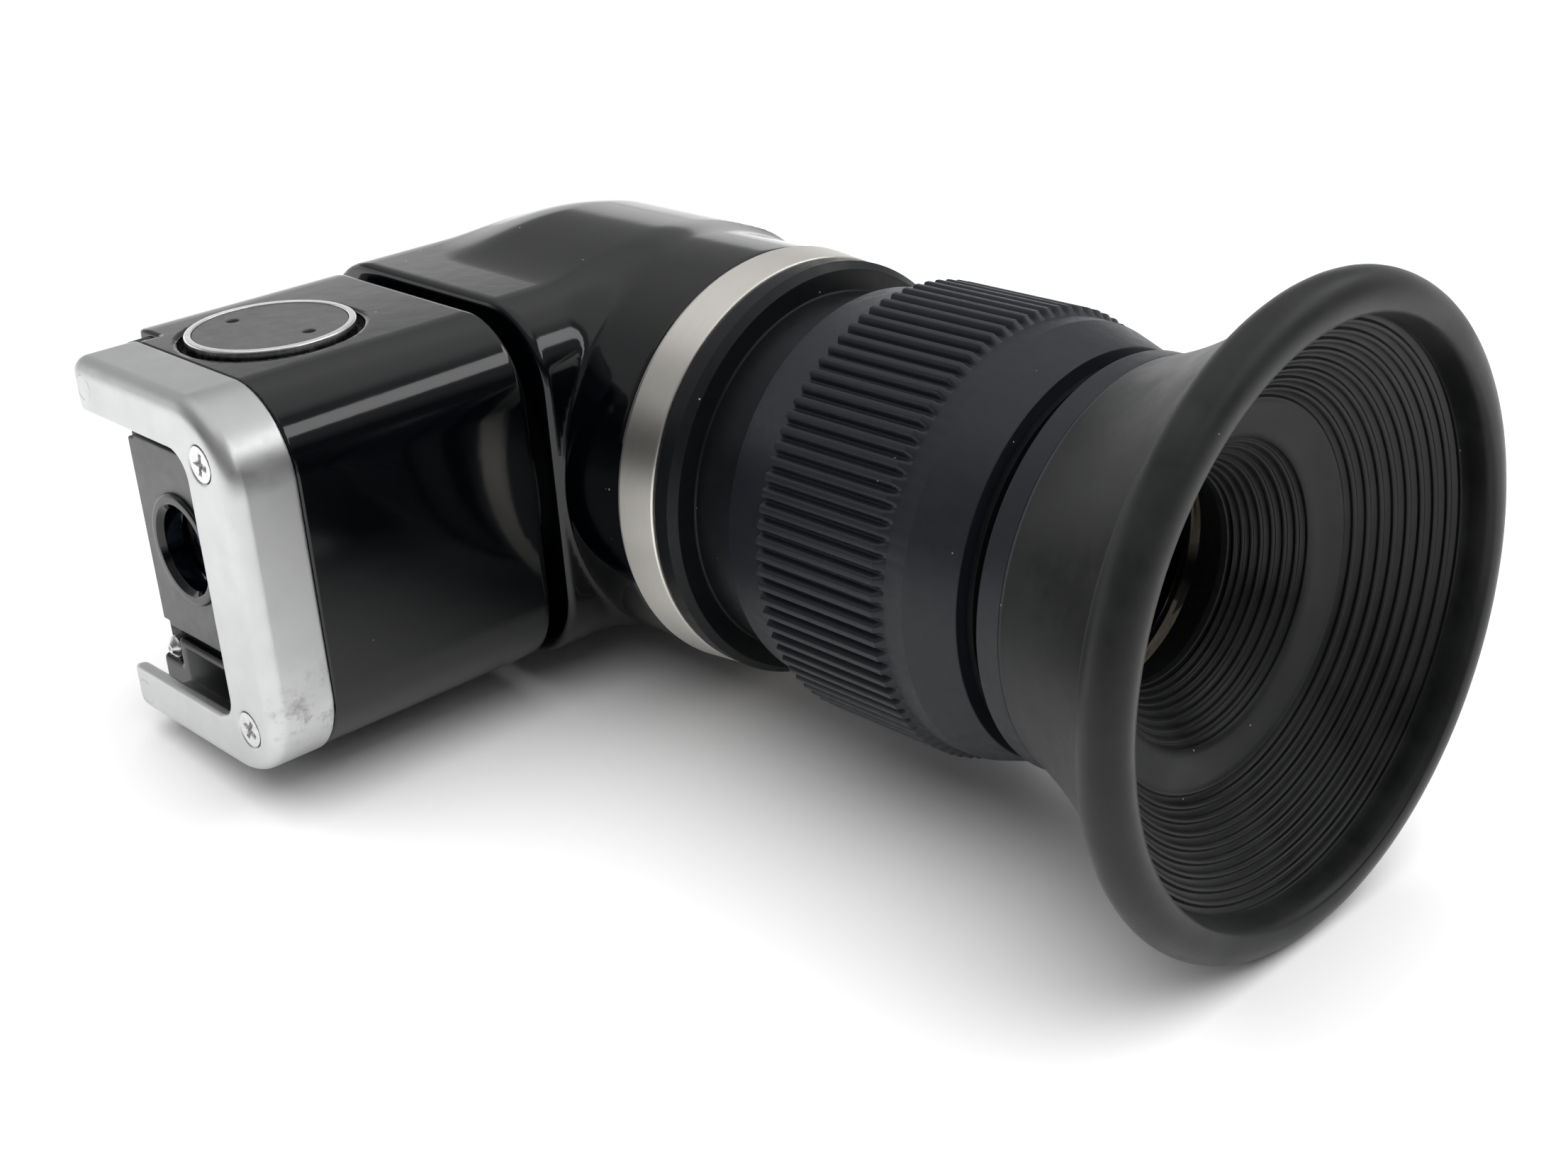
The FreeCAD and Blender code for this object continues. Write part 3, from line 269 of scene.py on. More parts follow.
class Look:
    """A material with a Principled shader, and short ways to add nodes to it.

    Positions and bump distances are in metres, so a noise scale counts features per metre.
    """

    def __init__(self, name, **settings):
        self.material = bpy.data.materials.new(name)
        self.material.use_nodes = True
        self.tree = self.material.node_tree
        self.shader = self.tree.nodes["Principled BSDF"]
        for key, value in settings.items():
            self.shader.inputs[key].default_value = value
        self.position = self.tree.nodes.new("ShaderNodeTexCoord").outputs["Object"]

    def node(self, kind, *values, output=0, **props):
        made = self.tree.nodes.new("ShaderNode" + kind)
        for key, value in props.items():
            setattr(made, key, value)
        for socket, value in zip([s for s in made.inputs if s.enabled], values):
            if value is None:
                continue
            if isinstance(value, bpy.types.NodeSocket):
                self.tree.links.new(value, socket)
            else:
                socket.default_value = value
        return made.outputs[output]

    def math(self, operation, *values):
        return self.node("Math", *values, operation=operation)

    def scaled(self, x, y, z):
        return self.node("VectorMath", self.position, (x, y, z), operation="MULTIPLY")

    def noise(self, scale, detail=3.0, rough=0.5, vector=None, output=0):
        made = self.tree.nodes.new("ShaderNodeTexNoise")
        made.inputs["Scale"].default_value = scale
        made.inputs["Detail"].default_value = detail
        made.inputs["Roughness"].default_value = rough
        self.tree.links.new(vector or self.position, made.inputs["Vector"])
        return made.outputs[output]

    def axes(self):
        """The position's three parts, by name."""
        split = self.tree.nodes.new("ShaderNodeSeparateXYZ")
        self.tree.links.new(self.position, split.inputs[0])
        return split.outputs

    def ramp(self, value, low, high, out_low=0.0, out_high=1.0):
        made = self.tree.nodes.new("ShaderNodeMapRange")
        for socket, number in zip(made.inputs[1:5], (low, high, out_low, out_high)):
            socket.default_value = number
        self.tree.links.new(value, made.inputs[0])
        return made.outputs[0]

    def mix(self, factor, a, b):
        made = self.tree.nodes.new("ShaderNodeMix")
        made.data_type = "RGBA"
        for socket, value in zip((made.inputs[0], made.inputs[6], made.inputs[7]), (factor, a, b)):
            if isinstance(value, bpy.types.NodeSocket):
                self.tree.links.new(value, socket)
            else:
                socket.default_value = value
        return made.outputs[2]

    def feed(self, key, socket):
        self.tree.links.new(socket, self.shader.inputs[key])

    def bump(self, height, strength, distance):
        made = self.tree.nodes.new("ShaderNodeBump")
        made.inputs["Strength"].default_value = strength
        made.inputs["Distance"].default_value = distance
        self.tree.links.new(height, made.inputs["Height"])
        last = self.shader.inputs["Normal"]
        if last.is_linked:
            self.tree.links.new(last.links[0].from_socket, made.inputs["Normal"])
        self.tree.links.new(made.outputs[0], last)

    def dots(self, vector, cell_mm, outer, inner, share):
        """A dot that fades from the inner to the outer radius, in a share of the cells."""
        made = self.tree.nodes.new("ShaderNodeTexVoronoi")
        made.inputs["Scale"].default_value = 1.0 / (cell_mm * MM)
        self.tree.links.new(vector, made.inputs["Vector"])
        draw = self.node("SeparateColor", made.outputs["Color"])
        chosen = self.math("GREATER_THAN", draw, 1.0 - share)
        near = self.ramp(made.outputs["Distance"], outer, inner)
        return self.math("MULTIPLY", chosen, near)

    def specks(self, cell_mm, size, share):
        """Small bright dots: one possible dot in each cell, and a share of the cells have one."""
        return self.dots(self.position, cell_mm, size, size * 0.5, share)

    def scratches(self, turn, cell_mm, width, ratio, share):
        """Short fine lines: dots stretched along one direction, which turn gives in radians."""
        spun = self.tree.nodes.new("ShaderNodeMapping")
        spun.vector_type = "TEXTURE"
        spun.inputs["Rotation"].default_value = turn
        spun.inputs["Scale"].default_value = (1.0, 1.0, ratio)
        self.tree.links.new(self.position, spun.inputs["Vector"])
        return self.dots(spun.outputs[0], cell_mm, width, width * 0.4, share)

    def cylinder(self):
        """The angle about the eyepiece's axis in radians, and the place along Y in metres."""
        part = self.axes()
        across = self.math("SUBTRACT", part["X"], EYE_X * MM)
        return self.math("ARCTAN2", part["Z"], across), part["Y"]


def grey(value, tint=(1.0, 1.0, 1.0)):
    return (value * tint[0], value * tint[1], value * tint[2], 1.0)


WORN_SEAM = 27.5


def gloss_black():
    """Sprayed gloss lacquer: slight orange peel, dust, and fine scratches by the elbow's seam."""
    look = Look("gloss_black", Roughness=0.1, IOR=1.5)
    deep, pale = grey(0.0008, (0.6, 1.0, 1.7)), grey(0.0014, (0.6, 1.0, 1.6))
    base = look.mix(look.noise(60.0, 3.0), deep, pale)
    seam = look.math("ABSOLUTE", look.math("SUBTRACT", look.axes()["X"], WORN_SEAM * MM))
    handled = look.ramp(seam, 7.5 * MM, 1.5 * MM)
    dust = look.specks(2.2, 0.04, 0.22)
    fine = look.math("MULTIPLY", look.specks(0.8, 0.05, 0.10), handled)
    lines = look.scratches((0.3, 0.5, 0.0), 1.1, 0.035, 14.0, 0.08)
    more = look.scratches((-0.5, 0.2, 0.0), 0.9, 0.035, 18.0, 0.06)
    lines = look.math("MULTIPLY", look.math("MAXIMUM", lines, more), handled)
    marks = look.math("MAXIMUM", dust, fine)
    marks = look.math("MAXIMUM", marks, look.math("MULTIPLY", lines, 0.45))
    look.feed("Base Color", look.mix(marks, base, grey(0.32)))
    haze = look.ramp(look.noise(140.0, 5.0, 0.6), 0.35, 0.7, 0.07, 0.11)
    look.feed("Roughness", look.math("ADD", haze, look.math("MULTIPLY", marks, 0.4)))
    look.bump(look.noise(420.0, 2.0, 0.5), 0.035, 0.0002)
    return look.material


STAMP_SIDE, STAMP_HEIGHT, STAMP_RADIUS = 5.1, 12.05, 0.95


def satin_alu():
    """Bead-blasted sheet: cloudy sheen, scuffs low down, a faint stamped ring by each arm tip."""
    look = Look("satin_aluminium", Metallic=1.0, Roughness=0.4)
    cloud = look.noise(180.0, 4.0, 0.6)
    part = look.axes()
    low = look.ramp(part["Z"], -3.0 * MM, -9.0 * MM)
    side = look.ramp(part["Y"], -13.0 * MM, -13.7 * MM)
    blot = look.ramp(look.noise(700.0, 6.0, 0.75), 0.50, 0.66)
    scuff = look.math("MULTIPLY", look.math("MULTIPLY", low, side), blot)
    tone = look.mix(cloud, grey(0.54, (0.99, 1.0, 1.01)), grey(0.66, (1.0, 1.0, 1.0)))
    tone = look.mix(look.math("MULTIPLY", scuff, 0.5), tone, grey(0.25, (1.0, 0.98, 0.95)))
    look.feed("Base Color", tone)
    rough = look.ramp(look.noise(420.0, 5.0, 0.65), 0.3, 0.7, 0.34, 0.46)
    look.feed("Roughness", look.math("ADD", rough, look.math("MULTIPLY", scuff, 0.2)))
    look.bump(look.noise(9000.0, 3.0, 0.7), 0.18, 0.00002)
    rings = []
    for height in (STAMP_HEIGHT, -STAMP_HEIGHT):
        up = look.math("SUBTRACT", part["Z"], height * MM)
        out = look.math("SUBTRACT", part["Y"], STAMP_SIDE * MM)
        squares = look.math("ADD", look.math("MULTIPLY", up, up), look.math("MULTIPLY", out, out))
        radius = look.math("SQRT", squares)
        away = look.math("ABSOLUTE", look.math("SUBTRACT", radius, STAMP_RADIUS * MM))
        rings.append(look.ramp(away, 0.07 * MM, 0.02 * MM))
    pressed = look.math("MAXIMUM", rings[0], rings[1])
    front = look.ramp(part["X"], 0.6 * MM, 0.3 * MM)
    worn = look.ramp(look.noise(900.0, 2.0), 0.42, 0.52)
    pressed = look.math("MULTIPLY", look.math("MULTIPLY", pressed, front), worn)
    look.bump(look.math("MULTIPLY", pressed, -1.0), 1.0, 0.00006)
    return look.material


def steel():
    look = Look("bright_steel", Metallic=1.0, Roughness=0.25)
    look.feed("Base Color", look.mix(look.noise(1500.0, 4.0, 0.6), grey(0.62), grey(0.80)))
    look.feed("Roughness", look.ramp(look.noise(2500.0, 4.0, 0.6), 0.3, 0.7, 0.2, 0.38))
    look.bump(look.noise(9000.0, 2.0), 0.12, 0.00002)
    return look.material


def plate_grey():
    look = Look("plate_grey", Metallic=0.35, Roughness=0.42)
    tone = look.mix(look.noise(400.0, 4.0, 0.6), grey(0.10), grey(0.13, (1, 1, 1.03)))
    look.feed("Base Color", tone)
    look.feed("Roughness", look.ramp(look.noise(900.0, 4.0, 0.6), 0.3, 0.7, 0.38, 0.5))
    look.bump(look.noise(12000.0, 2.0), 0.2, 0.00002)
    return look.material


def disc_grey():
    look = Look("disc_grey", Metallic=0.1, Roughness=0.42)
    tone = look.mix(look.noise(500.0, 4.0, 0.6), grey(0.055), grey(0.075, (1, 1, 1.04)))
    look.feed("Base Color", tone)
    look.feed("Roughness", look.ramp(look.noise(700.0, 5.0, 0.6), 0.3, 0.7, 0.36, 0.5))
    look.bump(look.noise(12000.0, 2.0), 0.2, 0.00002)
    return look.material


def bright_edge():
    look = Look("bright_edge", Metallic=1.0, Roughness=0.22)
    look.feed("Base Color", look.mix(look.noise(900.0, 3.0), grey(0.86), grey(0.96)))
    look.feed("Roughness", look.ramp(look.noise(1800.0, 3.0), 0.3, 0.7, 0.16, 0.3))
    return look.material


def champagne():
    look = Look("champagne", Metallic=1.0, Roughness=0.36)
    look.shader.inputs["Anisotropic"].default_value = 0.8
    look.shader.inputs["Anisotropic Rotation"].default_value = 0.25
    around = look.tree.nodes.new("ShaderNodeTangent")
    around.direction_type = "RADIAL"
    around.axis = "Y"
    look.feed("Tangent", around.outputs[0])
    angle, along = look.cylinder()
    lines = look.tree.nodes.new("ShaderNodeCombineXYZ")
    look.tree.links.new(look.math("MULTIPLY", angle, 3.0), lines.inputs[0])
    look.tree.links.new(look.math("MULTIPLY", along, 26000.0), lines.inputs[1])
    brushed = look.noise(1.0, 3.0, 0.6, lines.outputs[0])
    blotch = look.noise(220.0, 4.0, 0.6)
    tone = look.mix(blotch, grey(0.78, (1.0, 0.965, 0.90)), grey(0.90, (1.0, 0.97, 0.91)))
    groove = look.ramp(brushed, 0.3, 0.7, 0.0, 0.35)
    look.feed("Base Color", look.mix(groove, tone, grey(0.55, (1.0, 0.96, 0.9))))
    look.feed("Roughness", look.ramp(brushed, 0.25, 0.75, 0.32, 0.42))
    look.bump(brushed, 0.14, 0.00003)
    return look.material


def anodised():
    look = Look("blue_black_anodised", Roughness=0.42, IOR=1.4)
    deep, pale = grey(0.008, (0.85, 1.0, 1.4)), grey(0.012, (0.87, 1.0, 1.35))
    base = look.mix(look.noise(500.0, 4.0, 0.6), deep, pale)
    dust = look.math("MAXIMUM", look.specks(1.3, 0.055, 0.2), look.specks(0.6, 0.05, 0.06))
    look.feed("Base Color", look.mix(dust, base, grey(0.4)))
    look.feed("Roughness", look.ramp(look.noise(1200.0, 4.0, 0.65), 0.3, 0.7, 0.36, 0.48))
    look.bump(look.noise(14000.0, 2.0), 0.25, 0.00002)
    return look.material


def satin_black():
    """Anodised tube: softer than the lacquer, with dust."""
    look = Look("satin_black", Roughness=0.38, IOR=1.3)
    deep, pale = grey(0.004, (0.85, 1.0, 1.2)), grey(0.008, (0.9, 1.0, 1.15))
    base = look.mix(look.noise(300.0, 4.0, 0.6), deep, pale)
    dust = look.math("MAXIMUM", look.specks(1.5, 0.05, 0.24), look.specks(0.7, 0.05, 0.08))
    look.feed("Base Color", look.mix(dust, base, grey(0.4)))
    look.feed("Roughness", look.ramp(look.noise(900.0, 4.0, 0.6), 0.3, 0.7, 0.30, 0.44))
    look.bump(look.noise(9000.0, 2.0), 0.2, 0.00002)
    return look.material


def matte_black():
    look = Look("matte_black", Roughness=0.6)
    look.feed("Base Color", look.mix(look.noise(800.0, 4.0), grey(0.008), grey(0.014)))
    look.feed("Roughness", look.ramp(look.noise(1500.0, 3.0), 0.3, 0.7, 0.5, 0.7))
    look.bump(look.noise(9000.0, 2.0), 0.2, 0.00003)
    return look.material


def rubber():
    look = Look("eyecup_rubber", Roughness=0.46, IOR=1.38)
    look.shader.inputs["Sheen Weight"].default_value = 0.05
    look.shader.inputs["Sheen Roughness"].default_value = 0.4
    cloud = look.ramp(look.noise(110.0, 5.0, 0.62), 0.40, 0.62)
    base = look.mix(cloud, grey(0.003, (0.9, 1.0, 1.12)), grey(0.010, (0.95, 1.0, 1.04)))
    wiped = look.ramp(look.noise(60.0, 3.0, 0.55, look.scaled(1.0, 0.5, 1.7)), 0.58, 0.78, 0.0, 0.4)
    base = look.mix(wiped, base, grey(0.032, (1.0, 1.0, 0.99)))
    lint = look.specks(2.0, 0.04, 0.16)
    look.feed("Base Color", look.mix(lint, base, grey(0.30)))
    look.feed("Roughness", look.ramp(look.noise(110.0, 6.0, 0.65), 0.35, 0.65, 0.34, 0.52))
    look.bump(look.noise(4200.0, 4.0, 0.6), 0.14, 0.00005)
    return look.material


def brass():
    look = Look("turned_brass", Metallic=1.0, Roughness=0.3)
    dull, bright = (0.62, 0.45, 0.2, 1), (0.75, 0.58, 0.3, 1)
    look.feed("Base Color", look.mix(look.noise(700.0, 4.0), dull, bright))
    look.feed("Roughness", look.ramp(look.noise(2000.0, 3.0), 0.3, 0.7, 0.22, 0.4))
    return look.material


def coated_glass():
    """Dark glass with a thin coating, whose thickness is in nanometres."""
    look = Look("coated_glass", Roughness=0.02, IOR=1.52)
    look.shader.inputs["Base Color"].default_value = (0.30, 0.32, 0.42, 1.0)
    look.shader.inputs["Transmission Weight"].default_value = 1.0
    look.shader.inputs["Thin Film Thickness"].default_value = 420.0
    look.shader.inputs["Thin Film IOR"].default_value = 1.38
    look.feed("Roughness", look.ramp(look.noise(600.0, 3.0), 0.4, 0.7, 0.01, 0.04))
    return look.material


def floor_look():
    look = Look("studio_floor", Roughness=0.7)
    look.feed("Base Color", look.mix(look.noise(14.0, 3.0), grey(0.89), grey(0.91)))
    look.bump(look.noise(900.0, 3.0), 0.05, 0.0001)
    return look.material


LOOKS = {
    "satin_alu": satin_alu(),
    "screw_steel": steel(),
    "plate_grey": plate_grey(),
    "block_black": matte_black(),
    "gloss_black": gloss_black(),
    "coated_glass": coated_glass(),
    "bush_brass": brass(),
    "disc_grey": disc_grey(),
    "bright_edge": bright_edge(),
    "champagne": champagne(),
    "ring_anodised": anodised(),
    "satin_black": satin_black(),
    "eyecup_rubber": rubber(),
}
LOOKS["plated_steel"] = LOOKS["screw_steel"]
LOOKS["spring_steel"] = LOOKS["screw_steel"]
for black in ("drum_black", "washer_black", "holder_alu"):
    LOOKS[black] = LOOKS["block_black"]

SLOT_OF = {s["node"]: s["material_slot"] for s in frame["record"]["subparts"]}
for node_name, shown in frame["nodes"].items():
    shown.data.materials.clear()
    shown.data.materials.append(LOOKS[SLOT_OF[node_name]])


def dress(piece, node, body):
    """Gives a piece its CAD node's place: its body and the look of its material slot."""
    slot = SLOT_OF[node]
    piece.data.materials.clear()
    piece.data.materials.append(LOOKS[slot])
    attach(piece, body)
    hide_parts(node)
    return piece


# ------------------------------------------------------------------ bracket and slot

BRACKET_HALF = 14.0
BRACKET_CORNER = 6.2
SHEET = 1.0
BAND_LENGTH = 5.0
ARM_TIP = 7.0
WINDOW_HALF = 10.1
WINDOW_SIDE = -8.2
SCREW_SPOTS = [(-10.4, 9.9), (-10.4, -9.9)]
SCREW_HOLE, SCREW_SINK = 0.9, 1.5
COS_45 = 0.7071


def bracket_field(x, y, z):
    outer = rounded_end(box2(y, z, BRACKET_HALF, BRACKET_HALF, BRACKET_CORNER), -x, 1.25)
    outer = smooth_max(outer, x - BAND_LENGTH, 0.25)
    inner_half = BRACKET_HALF - SHEET
    hollow = np.maximum(box2(y, z, inner_half, inner_half, BRACKET_CORNER - SHEET), SHEET - x)
    window = span_box2(y, z, WINDOW_SIDE, 30.0, -WINDOW_HALF, WINDOW_HALF, 2.0)
    body = smooth_max(outer, -hollow, 0.2)
    body = smooth_max(body, -window, 0.35)
    body = smooth_max(body, y - ARM_TIP, 1.3)
    for side, height in SCREW_SPOTS:
        away = np.hypot(y - side, z - height)
        sink = np.maximum(away - SCREW_HOLE, (away - SCREW_SINK + x) * COS_45)
        hole = np.minimum(away - SCREW_HOLE, np.maximum(sink, away - SCREW_SINK))
        body = smooth_max(body, -hole, 0.1)
        body = smooth_max(body, -((away - 1.48 + np.maximum(x, 0.0)) * COS_45), 0.1)
    return body


bracket = field_mesh(
    "bracket_sheet",
    bracket_field,
    (0, -BRACKET_HALF, -BRACKET_HALF),
    (BAND_LENGTH, ARM_TIP, BRACKET_HALF),
    0.16,
)
dress(bracket, "shoe_bracket", "block")


SCREW_HEAD, SCREW_SHANK = 1.40, 0.85
CROSS_HALF, CROSS_REACH = 0.16, 0.85


def screw_field(x, y, z):
    away = np.hypot(y, z)
    head = smooth_max((away - SCREW_HEAD + np.maximum(x, 0.0)) * 0.8, 0.03 - x, 0.12)
    head = np.maximum(head, x - 0.6)
    thin, taper = CROSS_HALF + 0.12 * (0.4 - x), CROSS_REACH - x * 0.9
    arm_a = np.maximum(np.abs(y) - thin, np.abs(z) - taper)
    arm_b = np.maximum(np.abs(z) - thin, np.abs(y) - taper)
    cross = np.maximum(np.minimum(arm_a, arm_b), x - 0.5)
    shank = np.maximum(away - SCREW_SHANK, np.maximum(0.4 - x, x - 6.2))
    return np.minimum(smooth_max(head, -cross, 0.08), shank)


def turned_copy(piece, name, offset, turn):
    made = bpy.data.objects.new(name, piece.data.copy())
    bpy.context.scene.collection.objects.link(made)
    made.data.transform(Matrix.Translation(Vector(offset) * MM) @ Matrix.Rotation(turn, 4, "X"))
    return made


screw_seed = field_mesh("screw_seed", screw_field, (0, -1.5, -1.5), (6.3, 1.5, 1.5), 0.06)
heads = [
    turned_copy(screw_seed, f"screw_{i}", (0.0, side, height), turn)
    for i, ((side, height), turn) in enumerate(zip(SCREW_SPOTS, (0.22, 0.55)))
]
bpy.data.objects.remove(screw_seed)
dress(join("bracket_screw_pair", heads), "bracket_screws", "block")

PLATE_FRONT, PLATE_BACK = 2.9, 3.68
PLATE_NEAR, PLATE_FAR, PLATE_HALF = -12.4, 6.1, 7.6
PLATE_SCREW_SIDE = -10.4
LIGHT_HOLE = 4.0


def plate_field(x, y, z):
    face = span_box2(y, z, PLATE_NEAR, PLATE_FAR, -PLATE_HALF, PLATE_HALF, 0.35)
    for side in (1, -1):
        face = np.maximum(face, -span_box2(y, side * z, 5.2, 9.0, 7.3, 9.0, 0.1))
    plate = smooth_max(face, slab(x, PLATE_FRONT, PLATE_BACK), 0.14)
    hole = np.hypot(y, z) - LIGHT_HOLE
    screw = np.hypot(y - PLATE_SCREW_SIDE, z) - 0.8
    return smooth_max(smooth_max(plate, -hole, 0.1), -screw, 0.1)


plate = field_mesh(
    "slot_plate",
    plate_field,
    (PLATE_FRONT, PLATE_NEAR, -PLATE_HALF),
    (PLATE_BACK, PLATE_FAR, PLATE_HALF),
    0.13,
)
dress(plate, "front_plate", "block")

JAW_FRONT = 2.55
JAW_NEAR, JAW_FAR, JAW_LOW, JAW_TOP = -8.6, 6.75, -12.9, -8.15


def jaw_field(x, y, z):
    face = span_box2(y, z, JAW_NEAR, JAW_FAR, JAW_LOW, JAW_TOP, 0.3)
    notch = span_box2(y, z, 3.75, 9.0, -10.35, -6.0, 0.25)
    body = smooth_max(face, -notch, 0.25)
    return smooth_max(body, slab(x, JAW_FRONT, PLATE_BACK), 0.5)


jaw = field_mesh(
    "slot_jaw",
    jaw_field,
    (JAW_FRONT, JAW_NEAR, JAW_LOW),
    (PLATE_BACK, JAW_FAR, JAW_TOP),
    0.1,
)
dress(jaw, "rail_stop", "block")

bezel = turned(
    "objective_rim",
    round_corners(
        [
            (3.2, 2.95, 0.1),
            (3.55, 2.5, 0.16),
            (4.3, 2.5, 0.3),
            (4.3, 2.89, 0.03),
            (3.95, 2.89, 0.03),
            (3.95, 4.3, 0.05),
            (3.2, 4.3, 0.05),
        ]
    ),
    on_block,
    192,
)
dress(bezel, "objective_bezel", "block")

pin_outline = [
    (0.02, 2.3, 0),
    (0.35, 2.32, 0.1),
    (0.9, 2.75, 0.35),
    (0.9, 5.65, 0.03),
    (1.28, 5.65, 0.03),
    (1.28, 6.15, 0.03),
    (0.35, 6.15, 0.03),
    (0.35, 6.95, 0.03),
    (0.02, 6.95, 0),
]
PIN_SIDE, PIN_HEIGHT = 4.8, -9.3
pin = turned("latch_nose", round_corners(pin_outline), on_block, 64)
pin.data.transform(Matrix.Translation(Vector((0, PIN_SIDE, PIN_HEIGHT)) * MM))
dress(pin, "latch_pin", "latch")


# ------------------------------------------------------------------ block housing

BLOCK_HALF = 13.9
BLOCK_CORNER = 6.1
BLOCK_FRONT, BLOCK_END = 5.05, 24.33
BLOCK_WALL = 1.6
LEDGE_SIDE, LEDGE_BACK = 6.0, 6.65
RAMP_SIDE, RAMP_BACK = 8.8, 8.6
DISC_WELL, KNOB_WELL = 6.64, 6.2
SWIVEL_HOLE = 9.6


def block_field(x, y, z):
    section = box2(y, z, BLOCK_HALF, BLOCK_HALF, BLOCK_CORNER)
    outer = smooth_max(section, x - BLOCK_END, 0.7)
    outer = smooth_max(outer, BLOCK_FRONT - x, 0.15)
    step = np.maximum(LEDGE_SIDE - y, x - LEDGE_BACK)
    slope = np.maximum(RAMP_SIDE - y, (x - LEDGE_BACK) - (y - RAMP_SIDE) * 0.72)
    step = np.minimum(step, np.maximum(slope, x - RAMP_BACK))
    outer = smooth_max(outer, -step, 0.25)
    inner_half = BLOCK_HALF - BLOCK_WALL
    inner = np.maximum(box2(y, z, inner_half, inner_half, BLOCK_CORNER - BLOCK_WALL), x - 22.03)
    shell = np.maximum(outer, -inner)
    away = np.hypot(x - SELECTOR_X, y)
    recess = np.maximum(away - DISC_WELL, -z)
    under = np.maximum(away - KNOB_WELL, z)
    shell = smooth_max(shell, -recess, 0.3)
    shell = smooth_max(shell, -under, 0.3)
    swivel = np.maximum(np.hypot(y, z) - SWIVEL_HOLE, 21.0 - x)
    return np.maximum(shell, -swivel)


block = field_mesh(
    "block_shell",
    block_field,
    (BLOCK_FRONT, -BLOCK_HALF, -BLOCK_HALF),
    (BLOCK_END, BLOCK_HALF, BLOCK_HALF),
    0.3,
)
dress(block, "block_housing", "block")


# ------------------------------------------------------------------ selector disc and knob

DISC_TURN = 16.8
DISC_RADIUS = 5.58
DISC_BACK, DISC_FACE = 13.02, 14.27
SPANNER_SPREAD, SPANNER_HOLE = 3.65, 0.46


def disc_field(x, y, z):
    away = np.hypot(x, y)
    body = smooth_max(away - DISC_RADIUS, slab(z, DISC_BACK, DISC_FACE), 0.1)
    for side in (1, -1):
        hole = np.hypot(x, y - side * SPANNER_SPREAD) - SPANNER_HOLE
        body = smooth_max(body, -np.maximum(hole, 13.5 - z), 0.12)
    return body


def disc_turned(x, y, z):
    u, v = x - SELECTOR_X, y
    c, s = math.cos(math.radians(DISC_TURN)), math.sin(math.radians(DISC_TURN))
    return disc_field(u * c + v * s, v * c - u * s, z)


disc = field_mesh("selector_face", disc_turned, (6.8, -5.6, DISC_BACK), (18.1, 5.6, DISC_FACE), 0.1)
dress(disc, "selector_cap", "selector")

edge = turned(
    "selector_edge",
    round_corners(
        [
            (5.6, 13.1, 0.03),
            (6.13, 13.1, 0.03),
            (6.13, 14.35, 0.14),
            (5.6, 14.35, 0.08),
        ]
    ),
    on_selector,
    256,
)
dress(edge, "selector_trim_ring", "selector")


KNOB_RADIUS = 6.0
KNOB_FACE, KNOB_BACK = -13.84, -12.38


def knob_field(x, y, z):
    u = x - SELECTOR_X
    away = np.hypot(u, y)
    body = smooth_max(away - KNOB_RADIUS, slab(z, KNOB_FACE, KNOB_BACK), 0.2)
    hollow = np.maximum(smooth_max(away - 5.3, 1.1 - np.abs(u), 0.5), z + 12.9)
    body = smooth_max(body, -hollow, 0.3)
    screw = np.maximum(away - 1.0, z + 13.3)
    return smooth_max(smooth_max(body, -screw, 0.08), 0.72 - away, 0.05)


knob = field_mesh(
    "selector_grip",
    knob_field,
    (6.44, -KNOB_RADIUS, KNOB_FACE),
    (18.44, KNOB_RADIUS, KNOB_BACK),
    0.12,
)
dress(knob, "selector_knob", "selector")


# ------------------------------------------------------------------ elbow

ELBOW_START = 25.69
ELBOW_END = 54.0
ELBOW_HALF = 14.25
ELBOW_CORNER = 6.2
ELBOW_WALL = 1.6
TOP_RISE = 0.2
TUBE_RADIUS = 15.9
TUBE_BACK, TUBE_DOME = 12.0, 10.0
MOUTH = 20.4


def elbow_outside(x, y, z):
    rise = TOP_RISE * smoothstep(34.0, 42.0, x)
    far_corner = np.where(y > 0, 12.0, 3.0)
    low = 5.0
    mid, half = (low + ELBOW_END) / 2, (ELBOW_END - low) / 2
    plan = box2(x - mid, y, half, ELBOW_HALF, np.where(x > mid, far_corner, 0.5))
    square = rounded_end(plan, np.abs(z) - ELBOW_HALF - rise, ELBOW_CORNER)
    away = np.hypot(x - EYE_X, z)
    tube = rounded_end(away - TUBE_RADIUS, y - TUBE_BACK, TUBE_DOME)
    tube = np.maximum(tube, -MOUTH - 3.0 - y)
    blend = 0.45 + 2.2 * smoothstep(9.5, 14.5, np.abs(z))
    return smooth_min(square, tube, blend)


def elbow_field(x, y, z):
    outside = elbow_outside(x, y, z)
    body = smooth_max(outside, ELBOW_START - x, 0.7)
    body = smooth_max(body, -MOUTH - y, 0.3)
    body = np.maximum(body, -(outside + ELBOW_WALL))
    back = np.maximum(outside, x - ELBOW_START - ELBOW_WALL)
    body = np.minimum(body, smooth_max(back, ELBOW_START - x, 0.7))
    bore = np.hypot(y, z) - 9.0
    return np.maximum(body, -np.maximum(bore, x - ELBOW_START - 4.0))


elbow = field_mesh("elbow_shell", elbow_field, (ELBOW_START, -MOUTH, -16), (58.2, 14.3, 16), 0.36)
dress(elbow, "elbow_housing", "elbow")


# ------------------------------------------------------------------ eyepiece

